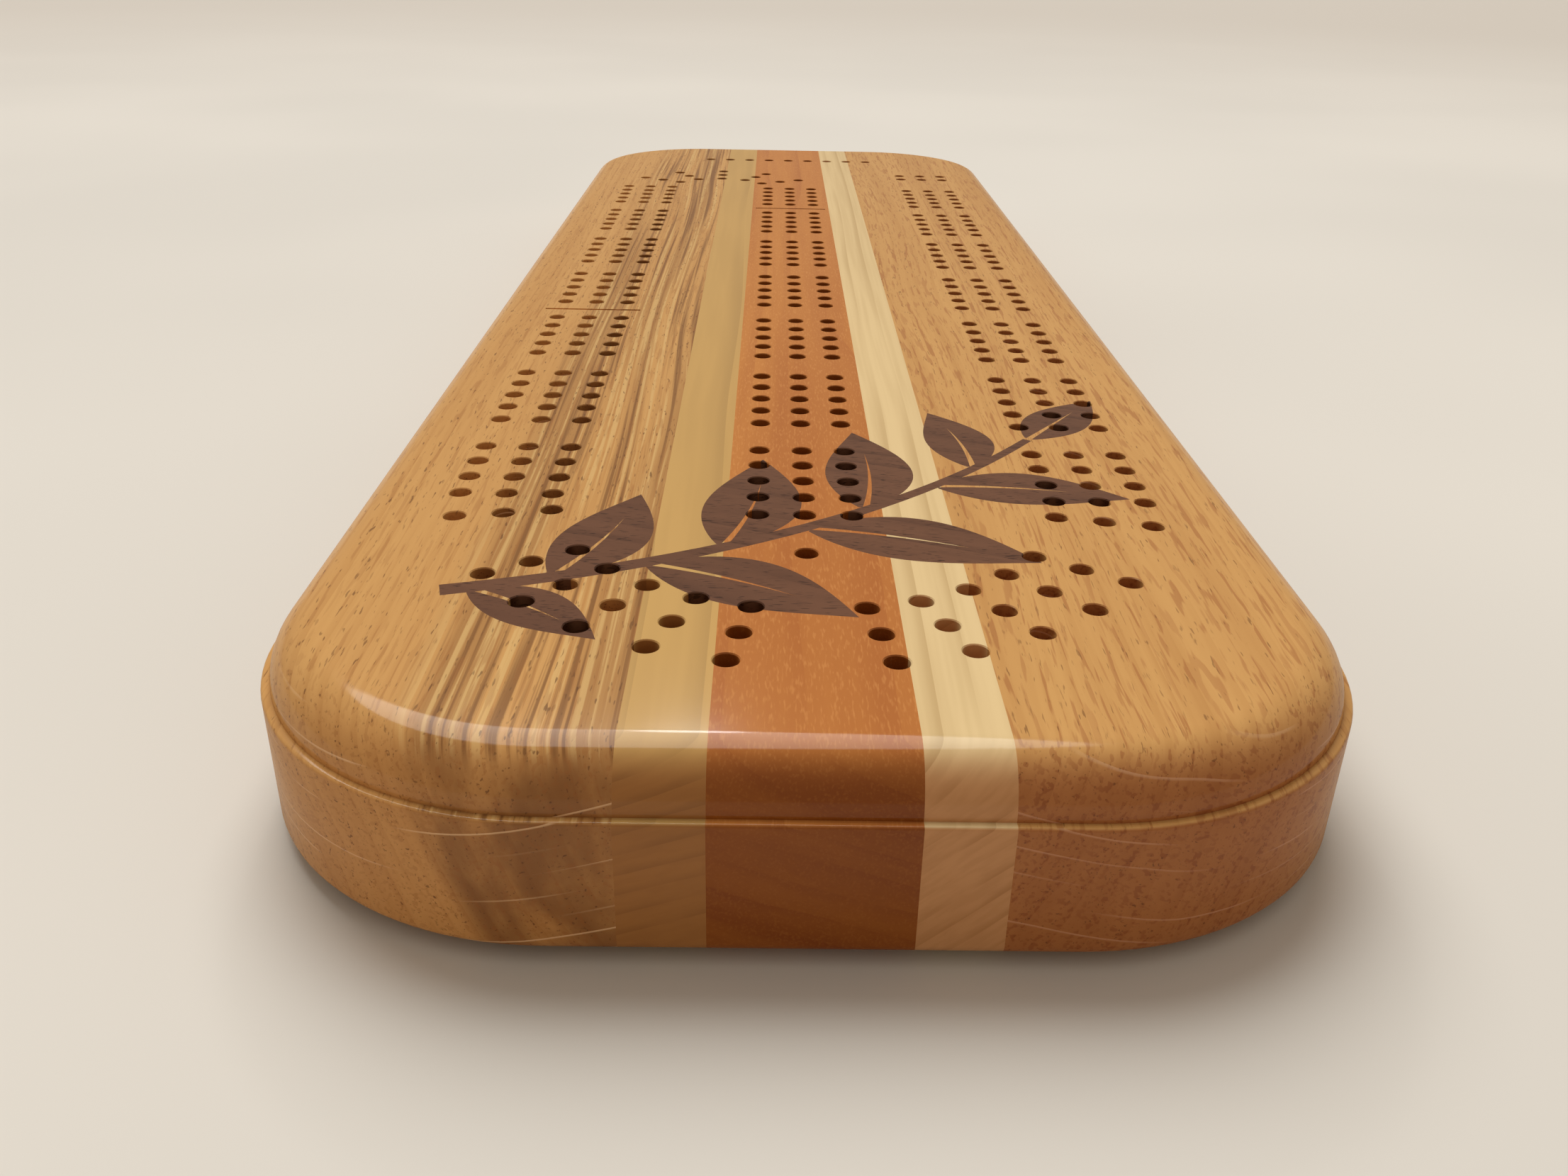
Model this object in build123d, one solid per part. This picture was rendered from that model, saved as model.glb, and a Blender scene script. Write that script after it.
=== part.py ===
from build123d import *
import os
from math import asin, atan, atan2, cos, degrees, hypot, pi, radians, sin

# A cribbage board built as a box: a block of five hardwood strips glued side by side, drilled with
# a three-lane peg track, with a leaf inlay at the near end and a shallow peg drawer in the far end.
#
# Millimetres. +X is across the board to the right as the finishing hole is seen at the near end,
# +Y runs along the board to the drawer, +Z is up. The origin is the middle of the whole footprint,
# drawer shut and knob included, on the table under the felt feet.

# ---------------------------------------------------------------- driving dimensions: peg track
pitch = 6.35             # hole to hole along a lane, a quarter of an inch
group_size = 5           # holes in a group
group_count = 7          # groups down each straight
group_gap = 12.7         # last hole of one group to the first of the next
lane_gap = 6.72          # lane to lane across a run
side_run_x = 43.33       # middle of the board to the middle lane of the left or right run
hole_diameter = 3.2      # drilled size of every peg hole
hole_depth = 8.0         # depth of every peg hole
hole_flats = 5           # the track holes are drawn five-sided, across flats the drilled size
small_flats = 6          # pegs, screws and magnets are drawn six-sided
round_flats = 12         # the knob and the feet are drawn twelve-sided
near_curve_lead = 7.7    # first row to the centre of the curve that joins right run and left run
near_curve_step = 11.25  # degrees from hole to hole round the near curve
far_curve_lead = 1.3     # last row to the centre of the curve that joins left run and middle run
far_curve_step = 30.0    # degrees from hole to hole round the far curve
finish_gap = 12.7        # first row of the middle run to the finishing hole
start_gap = 20.6         # last row of the right run to the first starting hole
start_count = 2          # starting holes in each lane of the right run
game_row_gap = 54.0      # last row to the cross row that counts games
game_count = 9           # holes in that cross row
mark_width = 0.9         # skunk line, a shallow sawn groove
mark_depth = 0.4         # its depth
mark_overhang = 1.8      # how far it runs past the outer lanes
left_mark_group = 3      # the left run's line is before this group, counted from 0
middle_mark_group = 6    # the middle run's line is before this group

# ---------------------------------------------------------------- driving dimensions: block
near_margin = 63.9       # near end to the first row
far_margin = 30.0        # games row to the far end
side_margin = 16.7       # outermost lane to the long side
block_height = 23.0      # wood alone, without the feet
corner_radius = 38.1     # corners of the outline
top_round = 6.35         # quarter round along the top edge
ledge_width = 1.1        # flat shoulder that the round leaves under it
bottom_ease = 1.2        # eased lower edge
cherry_width = 22.2      # centre strip
maple_width = 9.5        # light strip on each side of it
inlay_depth = 2.0        # thickness of the walnut inlay

# ---------------------------------------------------------------- driving dimensions: drawer
opening_width = 70.0     # width of the drawer's opening in the far end
slab_over_drawer = 10.5  # wood left between the opening and the playing face
panel_thickness = 3.0    # floor panel let into the underside
panel_lip = 8.0          # how far the panel reaches under the block past the opening
panel_corner = 4.0       # rounded inner corners of the panel
drawer_gap = 0.4         # clearance all round the drawer
front_thickness = 8.0    # drawer front, cut out of the block's own end
tray_length = 95.0       # drawer box behind the front
tray_setdown = 0.8       # the box is this much lower than the front
side_thickness = 4.5     # sides and back of the box
side_lap = 5.0           # how far the sides are let into the front
tray_bottom = 2.4        # thickness of the drawer's bottom
rebate = 2.0             # how far the bottom is let into the sides and back
finger_count = 3         # fingers of the corner joints at the back
divider_thickness = 2.5  # walls between the compartments
compartments = 3         # compartments side by side
drawer_travel = 75.0     # how far the drawer slides out

# ---------------------------------------------------------------- driving dimensions: small parts
foot_diameter = 12.0     # felt feet
foot_height = 2.0        # their thickness
foot_inset = 2.2         # outline to the foot's edge, at the middle of each corner
screw_diameter = 2.6     # panel screws, shank
screw_head = 5.4         # countersunk head
screw_length = 11.0      # over all
screw_from_end = 14.0    # panel's ends to the screws
screw_slot = 0.8         # width and depth of the slot in the head
stop_diameter = 2.6      # stop screw, shank
stop_engage = 1.0        # how far it stands into the drawer's groove
stop_clear = 0.4         # over its tip
stop_setback = 6.0       # inner face of the front's seat to the stop screw
magnet_diameter = 4.0    # a pair of disc magnets holds the drawer shut
magnet_thickness = 2.0   # thickness of each
knob_diameter = 9.0      # brass knob
knob_reach = 9.0         # how far it stands out of the far end
knob_base = 6.4          # diameter of its base
knob_base_height = 0.9   # thickness of its base
knob_neck = 4.0          # diameter of its neck
knob_neck_at = 3.0       # drawer front to the narrowest place
knob_widest_at = 6.0     # drawer front to the widest place
knob_shoulder = 7.2      # diameter where the crown begins
knob_dome = 1.0          # height of the crown
knob_crown = 3.6         # flat on top of it
stud_diameter = 3.0      # its screw stud
stud_length = 5.0        # length inside the front
peg_length = 30.0        # turned pegs
peg_head = 4.4           # widest diameter
peg_shank = 3.0          # shank where it meets the head
peg_tip = 2.4            # shank's tip
peg_shank_length = 17.0  # length of the tapered shank
peg_crown = 2.8          # diameter at the top of the head
peg_spacing = 5.3        # peg to peg in the tray
peg_from_front = 4.0     # front to the pegs' heads
pegs_each = 3            # pegs in each wood
peg_woods = ("maple", "cherry", "walnut")    # one wood to a compartment

# ---------------------------------------------------------------- driving dimensions: leaf inlay
twig_foot = (-46.0, -25.0)    # lower end of the twig, from the first row on the centre line
twig_tip_x = 37.0             # its upper end, at the right run
twig_tip_rows = 5             # how many holes on from the first row that end is
twig_tip_past = 0.25          # and this much further
twig_bow = 9.0                # how far it sags between them
twig_width = 3.0              # width at its foot
twig_taper = 0.5              # share of that width left at its tip
twig_steps = 6                # straight stretches that its edges are drawn with
# Each leaf: its place along the twig, the side it grows to (1 up, -1 down, 0 off the tip), its length.
leaf_places = (
    (0.13, 1, 29.0), (0.36, 1, 33.0), (0.60, 1, 32.0), (0.84, 1, 26.0),
    (0.03, -1, 22.0), (0.25, -1, 31.0), (0.49, -1, 33.0), (0.74, -1, 29.0), (1.0, 0, 25.0),
)
leaf_angle = 52.0             # degrees from the twig to a leaf
leaf_width = 0.42             # width of a leaf per unit of its length
leaf_bow = 0.05               # how far its middle line bows, per unit of its length
leaf_steps = 5                # straight stretches along each edge of a leaf
leaf_belly = 0.85             # under 1, a leaf is widest below its middle
vein_width = 1.0              # open line up the middle of a leaf, at its foot
vein_share = 0.7              # how much of the leaf's length it takes up
chip_volume = 1.0             # a bit of inlay that drilling leaves smaller than this falls away

# ---------------------------------------------------------------- places worked out from those
group_length = (group_size - 1) * pitch + group_gap
run_length = (group_count - 1) * group_length + (group_size - 1) * pitch
board_length = near_margin + run_length + game_row_gap + far_margin
board_width = 2 * (side_run_x + lane_gap + side_margin)
cut_past = 1.0           # how far a cutting shape runs past what it cuts
near_y = -(board_length + knob_reach) / 2
far_y = near_y + board_length
board_y = (near_y + far_y) / 2
first_row_y = near_y + near_margin
last_row_y = first_row_y + run_length
finish_y = first_row_y - finish_gap
lanes = (-lane_gap, 0.0, lane_gap)
twig_tip = (twig_tip_x, twig_tip_rows * pitch + twig_tip_past)

under_z = foot_height
top_z = under_z + block_height
ledge_z = top_z - top_round
floor_z = under_z + panel_thickness
ceiling_z = top_z - slab_over_drawer

cherry_edge = cherry_width / 2
maple_edge = cherry_edge + maple_width
side_edge = board_width / 2 + cut_past
strips = {
    "oak_left": (-side_edge, -maple_edge),
    "maple_left": (-maple_edge, -cherry_edge),
    "cherry_centre": (-cherry_edge, cherry_edge),
    "maple_right": (cherry_edge, maple_edge),
    "oak_right": (maple_edge, side_edge),
}

seat_y = far_y - front_thickness - drawer_gap    # where the opening steps in behind the front
front_back_y = far_y - front_thickness
tray_end_y = front_back_y - tray_length
cavity_end_y = tray_end_y - drawer_gap
panel_end_y = cavity_end_y - panel_lip
tray_half = opening_width / 2 - drawer_gap
inner_half = tray_half - side_thickness
tray_z = floor_z + drawer_gap
front_top_z = ceiling_z - drawer_gap
tray_top_z = front_top_z - tray_setdown
inner_z = tray_z + tray_bottom
inner_end_y = tray_end_y + side_thickness
front_z = (under_z + front_top_z) / 2
peg_head_at = peg_shank_length + (peg_head - peg_shank)
magnet_z = (inner_z + tray_top_z) / 2            # clear of the rebate for the bottom
compartment_width = (2 * inner_half - (compartments - 1) * divider_thickness) / compartments
compartment_step = compartment_width + divider_thickness

PART_FOLDER = "parts"
shapes = {}


def span_box(x_span, y_span, z_span):
    """A box between two places on each axis."""
    size = [high - low for low, high in (x_span, y_span, z_span)]
    middle = [(low + high) / 2 for low, high in (x_span, y_span, z_span)]
    return Pos(*middle) * Box(*size)


def turned(stations, flats):
    """A turned solid up +Z from (diameter, height) stations, drawn with a few flats."""
    solid = None
    for (low_size, low), (high_size, high) in zip(stations, stations[1:]):
        if high == low:
            continue
        slope = atan(abs(high_size - low_size) / 2 * cos(pi / flats) / (high - low))
        ring = RegularPolygon(max(low_size, high_size) / 2, flats)
        piece = extrude(ring, high - low, taper=degrees(slope))
        place = Pos(0, 0, low) if low_size >= high_size else Pos(0, 0, high) * Rot(180, 0, 0)
        solid = solid + place * piece if solid else place * piece
    return solid


def along_y(shape):
    """Turns a solid that was made up +Z to lie along +Y."""
    return Rot(-90, 0, 0) * shape


# ---------------------------------------------------------------- peg track
def straight_rows():
    """Places along Y of every row of a straight run, from the near end."""
    starts = [first_row_y + group * group_length for group in range(group_count)]
    return [start + hole * pitch for start in starts for hole in range(group_size)]


def curve_points(centre, radius, angles):
    """Holes on an arc about a centre."""
    return [(centre[0] + radius * cos(radians(a)), centre[1] + radius * sin(radians(a))) for a in angles]


def near_curve_angles():
    """A group each side of the middle, and one hole that ends each side run, every angle below level."""
    middle = 90 / near_curve_step
    steps = [1 + hole for hole in range(group_size)] + [middle - 1]
    left_side = [middle + step for step in steps]
    right_side = [middle - step for step in steps]
    return [-near_curve_step * step for step in left_side + right_side]


def track_points():
    """Every peg hole but the finishing hole."""
    rows = straight_rows()
    points = [(lane, y) for lane in lanes for y in rows]
    points += [(run + lane, y) for run in (-side_run_x, side_run_x) for lane in lanes for y in rows[1:]]
    near_centre = (0.0, first_row_y + near_curve_lead)
    far_centre = (-side_run_x / 2, last_row_y + far_curve_lead)
    far_angles = [far_curve_step * (hole + 1) for hole in range(group_size)]
    for lane in lanes:
        points += curve_points(near_centre, side_run_x + lane, near_curve_angles())
        points += curve_points(far_centre, side_run_x / 2 + lane, far_angles)
    start_rows = [last_row_y + start_gap + hole * pitch for hole in range(start_count)]
    points += [(side_run_x + lane, y) for lane in lanes for y in start_rows]
    game_start = -(game_count - 1) / 2 * lane_gap
    points += [(game_start + hole * lane_gap, last_row_y + game_row_gap) for hole in range(game_count)]
    return points


def track_bits(x_span, y_span):
    """Flat-sided solids to cut away for the track's holes that reach into a region."""
    bit = extrude(RegularPolygon(hole_diameter / 2, hole_flats, major_radius=False), -hole_depth)
    (low_x, high_x), (low_y, high_y) = x_span, y_span
    reach = hole_diameter
    return [
        Pos(x, y, top_z) * bit for x, y in track_points()
        if low_x - reach < x < high_x + reach and low_y - reach < y < high_y + reach
    ]


def finish_bit():
    """The finishing hole is a true round hole."""
    return Pos(0, finish_y, top_z - hole_depth / 2) * Cylinder(hole_diameter / 2, hole_depth)


def skunk_lines():
    """Shallow grooves across the left run and the middle run, halfway between two groups."""
    half = lane_gap + hole_diameter / 2 + mark_overhang
    grooves = []
    for run_x, group in ((-side_run_x, left_mark_group), (0.0, middle_mark_group)):
        y = first_row_y + group * group_length - group_gap / 2
        across = (y - mark_width / 2, y + mark_width / 2)
        grooves.append(span_box((run_x - half, run_x + half), across, (top_z - mark_depth, top_z)))
    return grooves


# ---------------------------------------------------------------- leaf inlay
def twig_point(share):
    """A place along the twig's middle line and the twig's direction there, in degrees."""
    span_x, span_y = twig_tip[0] - twig_foot[0], twig_tip[1] - twig_foot[1]
    length = hypot(span_x, span_y)
    sag = 4 * twig_bow * share * (1 - share)
    x = twig_foot[0] + span_x * share + sag * span_y / length
    y = first_row_y + twig_foot[1] + span_y * share - sag * span_x / length
    slope = 4 * twig_bow * (1 - 2 * share) / length
    return (x, y), degrees(atan2(span_y, span_x)) - degrees(atan(slope))


def inlaid(points):
    """A flat piece of the inlay with this outline, its face level with the board's."""
    return extrude(Pos(0, 0, top_z) * make_face(Polyline(*points, close=True)), -inlay_depth)


def twig_solid():
    """The twig, a band that tapers to its tip."""
    edges = ([], [])
    for step in range(twig_steps + 1):
        share = step / twig_steps
        (x, y), direction = twig_point(share)
        half = twig_width / 2 * (1 - (1 - twig_taper) * share)
        across = (half * sin(radians(direction)), -half * cos(radians(direction)))
        edges[0].append((x + across[0], y + across[1]))
        edges[1].append((x - across[0], y - across[1]))
    return inlaid(edges[0] + edges[1][::-1])


def leaf_solid(share, side, length):
    """A pointed leaf that grows from the twig's middle line, widest below its middle, open up its vein."""
    foot, direction = twig_point(share)
    turn = direction + side * leaf_angle

    def place(along, across):
        out = (length * along * cos(radians(turn)), length * along * sin(radians(turn)))
        over = (-across * sin(radians(turn)), across * cos(radians(turn)))
        return (foot[0] + out[0] + over[0], foot[1] + out[1] + over[1])

    def middle(along):
        return -side * 4 * leaf_bow * length * along * (1 - along)

    def half_width(along):
        return leaf_width / 2 * length * sin(pi * along ** leaf_belly)

    shares = [step / leaf_steps for step in range(leaf_steps + 1)]
    left = [place(t, middle(t) + half_width(t)) for t in shares]
    right = [place(t, middle(t) - half_width(t)) for t in shares[1:-1]]
    blade = inlaid(left + right[::-1])
    vein_shares = (0, vein_share / 2, vein_share)
    vein_half = [vein_width / 2 * (1 - t / vein_share) for t in vein_shares]
    vein_left = [place(t, middle(t) + half) for t, half in zip(vein_shares, vein_half)]
    vein_right = [place(t, middle(t) - half) for t, half in zip(vein_shares[:-1], vein_half)]
    return blade - inlaid(vein_left + vein_right[::-1])


def inlay_solids():
    """The twig, and the leaves cut off where they meet it."""
    twig = twig_solid()
    pieces = {"inlay_twig": twig}
    for number, (share, side, length) in enumerate(leaf_places, start=1):
        pieces[f"inlay_leaf_{number}"] = leaf_solid(share, side, length) - twig
    return pieces


# ---------------------------------------------------------------- block
def outline(inset=0.0):
    """The board's plan, a rectangle with large round corners."""
    return RectangleRounded(board_width - 2 * inset, board_length - 2 * inset, corner_radius - inset)


def whole_block():
    """The moulded block before anything is cut into it."""
    lower = extrude(Pos(0, board_y, under_z) * outline(), block_height - top_round)
    lower = chamfer(lower.edges().group_by(Axis.Z)[0], bottom_ease)
    sunk = (block_height - top_round) / 2
    upper = extrude(Pos(0, board_y, ledge_z - sunk) * outline(ledge_width), top_round + sunk)
    upper = fillet(upper.edges().group_by(Axis.Z)[-1], top_round)
    return lower + upper


def panel_shape(z_span):
    """Plan of the floor panel, rounded at its inner corners, over a span of heights."""
    half = opening_width / 2 + panel_lip
    panel = span_box((-half, half), (panel_end_y, seat_y), z_span)
    return fillet(panel.edges().filter_by(Axis.Z).group_by(Axis.Y)[0], panel_corner)


def drawer_room():
    """What is cut out of the block for the drawer, its front and the panel under it."""
    half = opening_width / 2
    front_seat = span_box((-half, half), (seat_y, far_y + cut_past), (under_z - cut_past, ceiling_z))
    cavity = span_box((-half, half), (cavity_end_y, far_y + cut_past), (floor_z - cut_past, ceiling_z))
    return [front_seat, cavity, panel_shape((under_z - cut_past, floor_z))]


def screw_places():
    """The four panel screws."""
    x = opening_width / 2 + panel_lip / 2
    return [(side * x, y) for side in (-1, 1) for y in (panel_end_y + screw_from_end, seat_y - screw_from_end)]


def screw(shank, head, length):
    """A countersunk screw, head down and flush with the underside: the room it takes, and it slotted."""
    cone = (head - shank) / 2
    body = turned([(head, 0), (shank, cone), (shank, length)], small_flats)
    slot = span_box((-head, head), (-screw_slot / 2, screw_slot / 2), (0, screw_slot))
    return body, body - slot


panel_screw_solid, panel_screw = screw(screw_diameter, screw_head, screw_length)
stop_length = panel_thickness + drawer_gap + stop_engage
stop_solid, stop_screw = screw(stop_diameter, screw_head, stop_length)
stop_y = seat_y - stop_setback
stop_place = Pos(0, stop_y, under_z)
screw_spots = [Pos(x, y, under_z) for x, y in screw_places()]


def disc_magnet(y_span):
    """A disc magnet on the drawer's centre line, between two places along Y."""
    disc = turned([(magnet_diameter, 0), (magnet_diameter, magnet_thickness)], small_flats)
    return Pos(0, y_span[0], magnet_z) * along_y(disc)


body_magnet = disc_magnet((cavity_end_y - magnet_thickness, cavity_end_y))
drawer_magnet = disc_magnet((tray_end_y, tray_end_y + magnet_thickness))

inlay = inlay_solids()
blank = whole_block()
pilot_holes = [spot * panel_screw_solid for spot in screw_spots]
all_heights = (under_z - cut_past, top_z + cut_past)
all_lengths = (near_y - cut_past, far_y + cut_past)
cuts = drawer_room() + pilot_holes + [body_magnet, finish_bit()] + skunk_lines() + list(inlay.values())
for name, x_span in strips.items():
    wood, side = name.split("_")
    strip = blank & span_box(x_span, all_lengths, all_heights)
    shapes[f"{wood}_strip_{side}"] = strip - cuts - track_bits(x_span, all_lengths)
for name, piece in inlay.items():
    room = piece.bounding_box()
    drilled = piece - track_bits((room.min.X, room.max.X), (room.min.Y, room.max.Y))
    kept = [solid for solid in drilled.solids() if solid.volume > chip_volume]
    shapes[name] = kept[0] if len(kept) == 1 else Compound(children=kept)


# ---------------------------------------------------------------- underside
shapes["bottom_panel"] = panel_shape((under_z, floor_z)) - pilot_holes - [stop_place * stop_solid]
shapes["panel_screws"] = Compound(children=[spot * panel_screw for spot in screw_spots])
shapes["drawer_stop_screw"] = stop_place * stop_screw
shapes["body_magnet"] = body_magnet

foot_reach = corner_radius - foot_inset - foot_diameter / 2
for end, end_sign in (("near", -1), ("far", 1)):
    for side, side_sign in (("left", -1), ("right", 1)):
        x = side_sign * (board_width / 2 - corner_radius + foot_reach * sin(pi / 4))
        y = board_y + end_sign * (board_length / 2 - corner_radius + foot_reach * cos(pi / 4))
        pad = extrude(RegularPolygon(foot_diameter / 2, round_flats), foot_height)
        shapes[f"foot_{end}_{side}"] = Pos(x, y, 0) * pad


# ---------------------------------------------------------------- drawer
def knob():
    """A turned knob with its stud, along +Y from the drawer front."""
    stations = [
        (stud_diameter, -stud_length), (stud_diameter, 0),
        (knob_base, 0), (knob_base, knob_base_height),
        (knob_neck, knob_neck_at), (knob_diameter, knob_widest_at),
        (knob_shoulder, knob_reach - knob_dome), (knob_crown, knob_reach),
    ]
    return Pos(0, far_y, front_z) * along_y(turned(stations, round_flats))


def tray_side(side):
    """One side of the drawer box: let into the front, rebated for the bottom, fingered at the back."""
    x_span = sorted((side * inner_half, side * tray_half))
    board = span_box(x_span, (tray_end_y, front_back_y + side_lap), (tray_z, tray_top_z))
    rebate_x = sorted((side * (inner_half - cut_past), side * (inner_half + rebate)))
    ledge = span_box(rebate_x, (inner_end_y - rebate, front_back_y), (tray_z - cut_past, inner_z))
    return board - ledge - back_fingers(side)


def back_fingers(side):
    """The fingers of the back at one corner: every second one, counted from the bottom."""
    finger = (tray_top_z - tray_z) / finger_count
    x_span = sorted((side * inner_half, side * tray_half))
    low = [tray_z + finger * number for number in range(1, finger_count, 2)]
    return [span_box(x_span, (tray_end_y, inner_end_y), (z, z + finger)) for z in low]


def tray_back():
    """The back of the drawer box, with the rebate for the bottom and the magnet's seat."""
    board = span_box((-inner_half, inner_half), (tray_end_y, inner_end_y), (tray_z, tray_top_z))
    board = board + back_fingers(-1) + back_fingers(1)
    ledge = span_box((-inner_half, inner_half), (inner_end_y - rebate, inner_end_y), (tray_z, inner_z))
    return board - ledge - drawer_magnet


def tray_floor():
    """The drawer's bottom, with the blind groove that the stop screw runs in."""
    half = inner_half + rebate
    board = span_box((-half, half), (inner_end_y - rebate, front_back_y), (tray_z, inner_z))
    groove_half = stop_diameter / 2 + drawer_gap
    groove_y = (stop_y - drawer_travel - groove_half, stop_y + groove_half)
    groove_z = (tray_z, tray_z + stop_engage + stop_clear)
    return board - span_box((-groove_half, groove_half), groove_y, groove_z)


def peg():
    """A turned peg, its shank's tip at the origin and its head up +Y."""
    stations = [(peg_tip, 0), (peg_shank, peg_shank_length), (peg_head, peg_head_at), (peg_crown, peg_length)]
    return along_y(turned(stations, small_flats))


front_heights = (under_z - cut_past, front_top_z)
front_room = span_box((-tray_half, tray_half), (front_back_y, far_y + cut_past), front_heights)
drawer_front = (blank & front_room) - knob()
for side in (-1, 1):
    seat_x = sorted((side * inner_half, side * (tray_half + cut_past)))
    seat = span_box(seat_x, (front_back_y, front_back_y + side_lap), (tray_z, tray_top_z))
    drawer_front = drawer_front - seat
for name, x_span in strips.items():
    shapes[f"drawer_front_{name}"] = drawer_front & span_box(x_span, all_lengths, all_heights)

shapes["drawer_side_left"] = tray_side(-1)
shapes["drawer_side_right"] = tray_side(1)
shapes["drawer_back"] = tray_back()
shapes["drawer_bottom"] = tray_floor()
shapes["drawer_magnet"] = drawer_magnet
shapes["drawer_knob"] = knob()

for number in range(1, compartments):
    x = -inner_half + number * compartment_step - divider_thickness
    wall_x = (x, x + divider_thickness)
    shapes[f"drawer_divider_{number}"] = span_box(wall_x, (inner_end_y, front_back_y), (inner_z, tray_top_z))

# The pegs lie on the drawer's bottom, each on the rim of its head and on its tip.
peg_tilt = degrees(asin((peg_head - peg_tip) / 2 / peg_head_at))
tip_y = front_back_y - peg_from_front - peg_length
tip_z = inner_z + peg_tip / 2 * cos(radians(peg_tilt))
for number, wood in enumerate(peg_woods[:compartments]):
    middle_x = -inner_half + compartment_width / 2 + number * compartment_step
    for peg_number in range(pegs_each):
        x = middle_x + (peg_number - (pegs_each - 1) / 2) * peg_spacing
        laid = Pos(x, tip_y, tip_z) * Rot(peg_tilt, 0, 0) * peg()
        shapes[f"peg_{wood}_{peg_number + 1}"] = laid


# ---------------------------------------------------------------- write one file for each piece
os.makedirs(PART_FOLDER, exist_ok=True)
for name, shape in shapes.items():
    export_step(shape, f"{PART_FOLDER}/{name}.step")
print(f"{len(shapes)} pieces, board {board_width:.2f} x {board_length:.2f} x {top_z:.2f}, "
      f"{len(track_points()) + 1} peg holes")
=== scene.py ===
"""A laminated cribbage board with a peg drawer, finished around its packed frame.

Lengths are metres in the frame's own axes: +Y runs along the board to the drawer and +Z is up.
"""
from math import asin, atan, atan2, cos, pi, radians, sin

import bmesh
import bpy
from bpy.props import FloatProperty, FloatVectorProperty, IntProperty, PointerProperty
from mathutils import Matrix, Vector


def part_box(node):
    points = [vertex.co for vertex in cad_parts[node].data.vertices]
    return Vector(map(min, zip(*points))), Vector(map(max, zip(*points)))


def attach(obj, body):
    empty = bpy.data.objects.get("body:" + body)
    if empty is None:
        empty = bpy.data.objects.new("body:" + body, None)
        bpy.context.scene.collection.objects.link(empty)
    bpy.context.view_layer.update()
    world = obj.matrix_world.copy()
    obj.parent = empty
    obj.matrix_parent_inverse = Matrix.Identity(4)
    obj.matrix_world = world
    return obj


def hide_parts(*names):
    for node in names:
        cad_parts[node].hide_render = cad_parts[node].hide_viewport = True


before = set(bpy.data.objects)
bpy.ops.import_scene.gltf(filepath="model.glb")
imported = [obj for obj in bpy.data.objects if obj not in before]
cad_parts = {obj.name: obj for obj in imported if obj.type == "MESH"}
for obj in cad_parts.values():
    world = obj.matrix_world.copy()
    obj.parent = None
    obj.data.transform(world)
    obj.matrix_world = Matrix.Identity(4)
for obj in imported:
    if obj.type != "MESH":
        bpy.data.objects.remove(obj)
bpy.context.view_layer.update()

bl_info = {
    "name": "Cribbage Box",
    "version": (1, 0, 0),
    "blender": (4, 5, 0),
    "location": "3D View > Sidebar > Cribbage Box",
    "description": "Finishes a laminated cribbage board with a peg drawer around its fixed frame",
    "category": "Add Mesh",
}

MM = 0.001

# ---------------------------------------------------------------- places read from the frame
BLOCK_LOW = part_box("oak_strip_left")[0]
BLOCK_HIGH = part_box("oak_strip_right")[1]
NEAR_Y, FAR_Y = BLOCK_LOW.y, BLOCK_HIGH.y
UNDER_Z, TOP_Z = BLOCK_LOW.z, BLOCK_HIGH.z
PANEL_LOW, PANEL_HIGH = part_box("bottom_panel")
FRONT_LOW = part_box("drawer_front_oak_left")[0]
FRONT_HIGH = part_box("drawer_front_oak_right")[1]
TRAY_LOW, TRAY_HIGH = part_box("drawer_side_left")
INNER_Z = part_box("drawer_bottom")[1].z
STRIPS = ("oak_left", "maple_left", "cherry_centre", "maple_right", "oak_right")
PAST = 1.0 * MM         # how far a cutting shape runs past what it cuts
MERGE = 0.005 * MM      # points nearer than this are one point
FLAT = radians(1)       # faces that meet at less than this are one flat face
SHARP = radians(40)     # edges sharper than this stay crisp in the shading
SQUARE = radians(60)    # edges sharper than this are a sawn corner


# ---------------------------------------------------------------- settings a user would change
def length(name, size, description):
    """A length property whose default is given in millimetres."""
    return FloatProperty(name=name, description=description, default=size * MM, min=0.0,
                         unit="LENGTH", precision=5)


def angle(name, size, description):
    """An angle property whose default is given in degrees."""
    return FloatProperty(name=name, description=description, default=radians(size), subtype="ANGLE")


def count(name, number, description):
    """A whole number of at least one."""
    return IntProperty(name=name, description=description, default=number, min=1)


def linear(hex_colour):
    """An sRGB hex colour as linear red, green, blue and alpha."""
    parts = [int(hex_colour[i:i + 2], 16) / 255 for i in (1, 3, 5)]
    return [c / 12.92 if c <= 0.04045 else ((c + 0.055) / 1.055) ** 2.4 for c in parts] + [1.0]


def colour(name, hex_colour, description):
    """A colour property whose default is an sRGB hex colour."""
    return FloatVectorProperty(name=name, description=description, subtype="COLOR", size=4,
                               min=0.0, max=1.0, default=linear(hex_colour))


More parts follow.
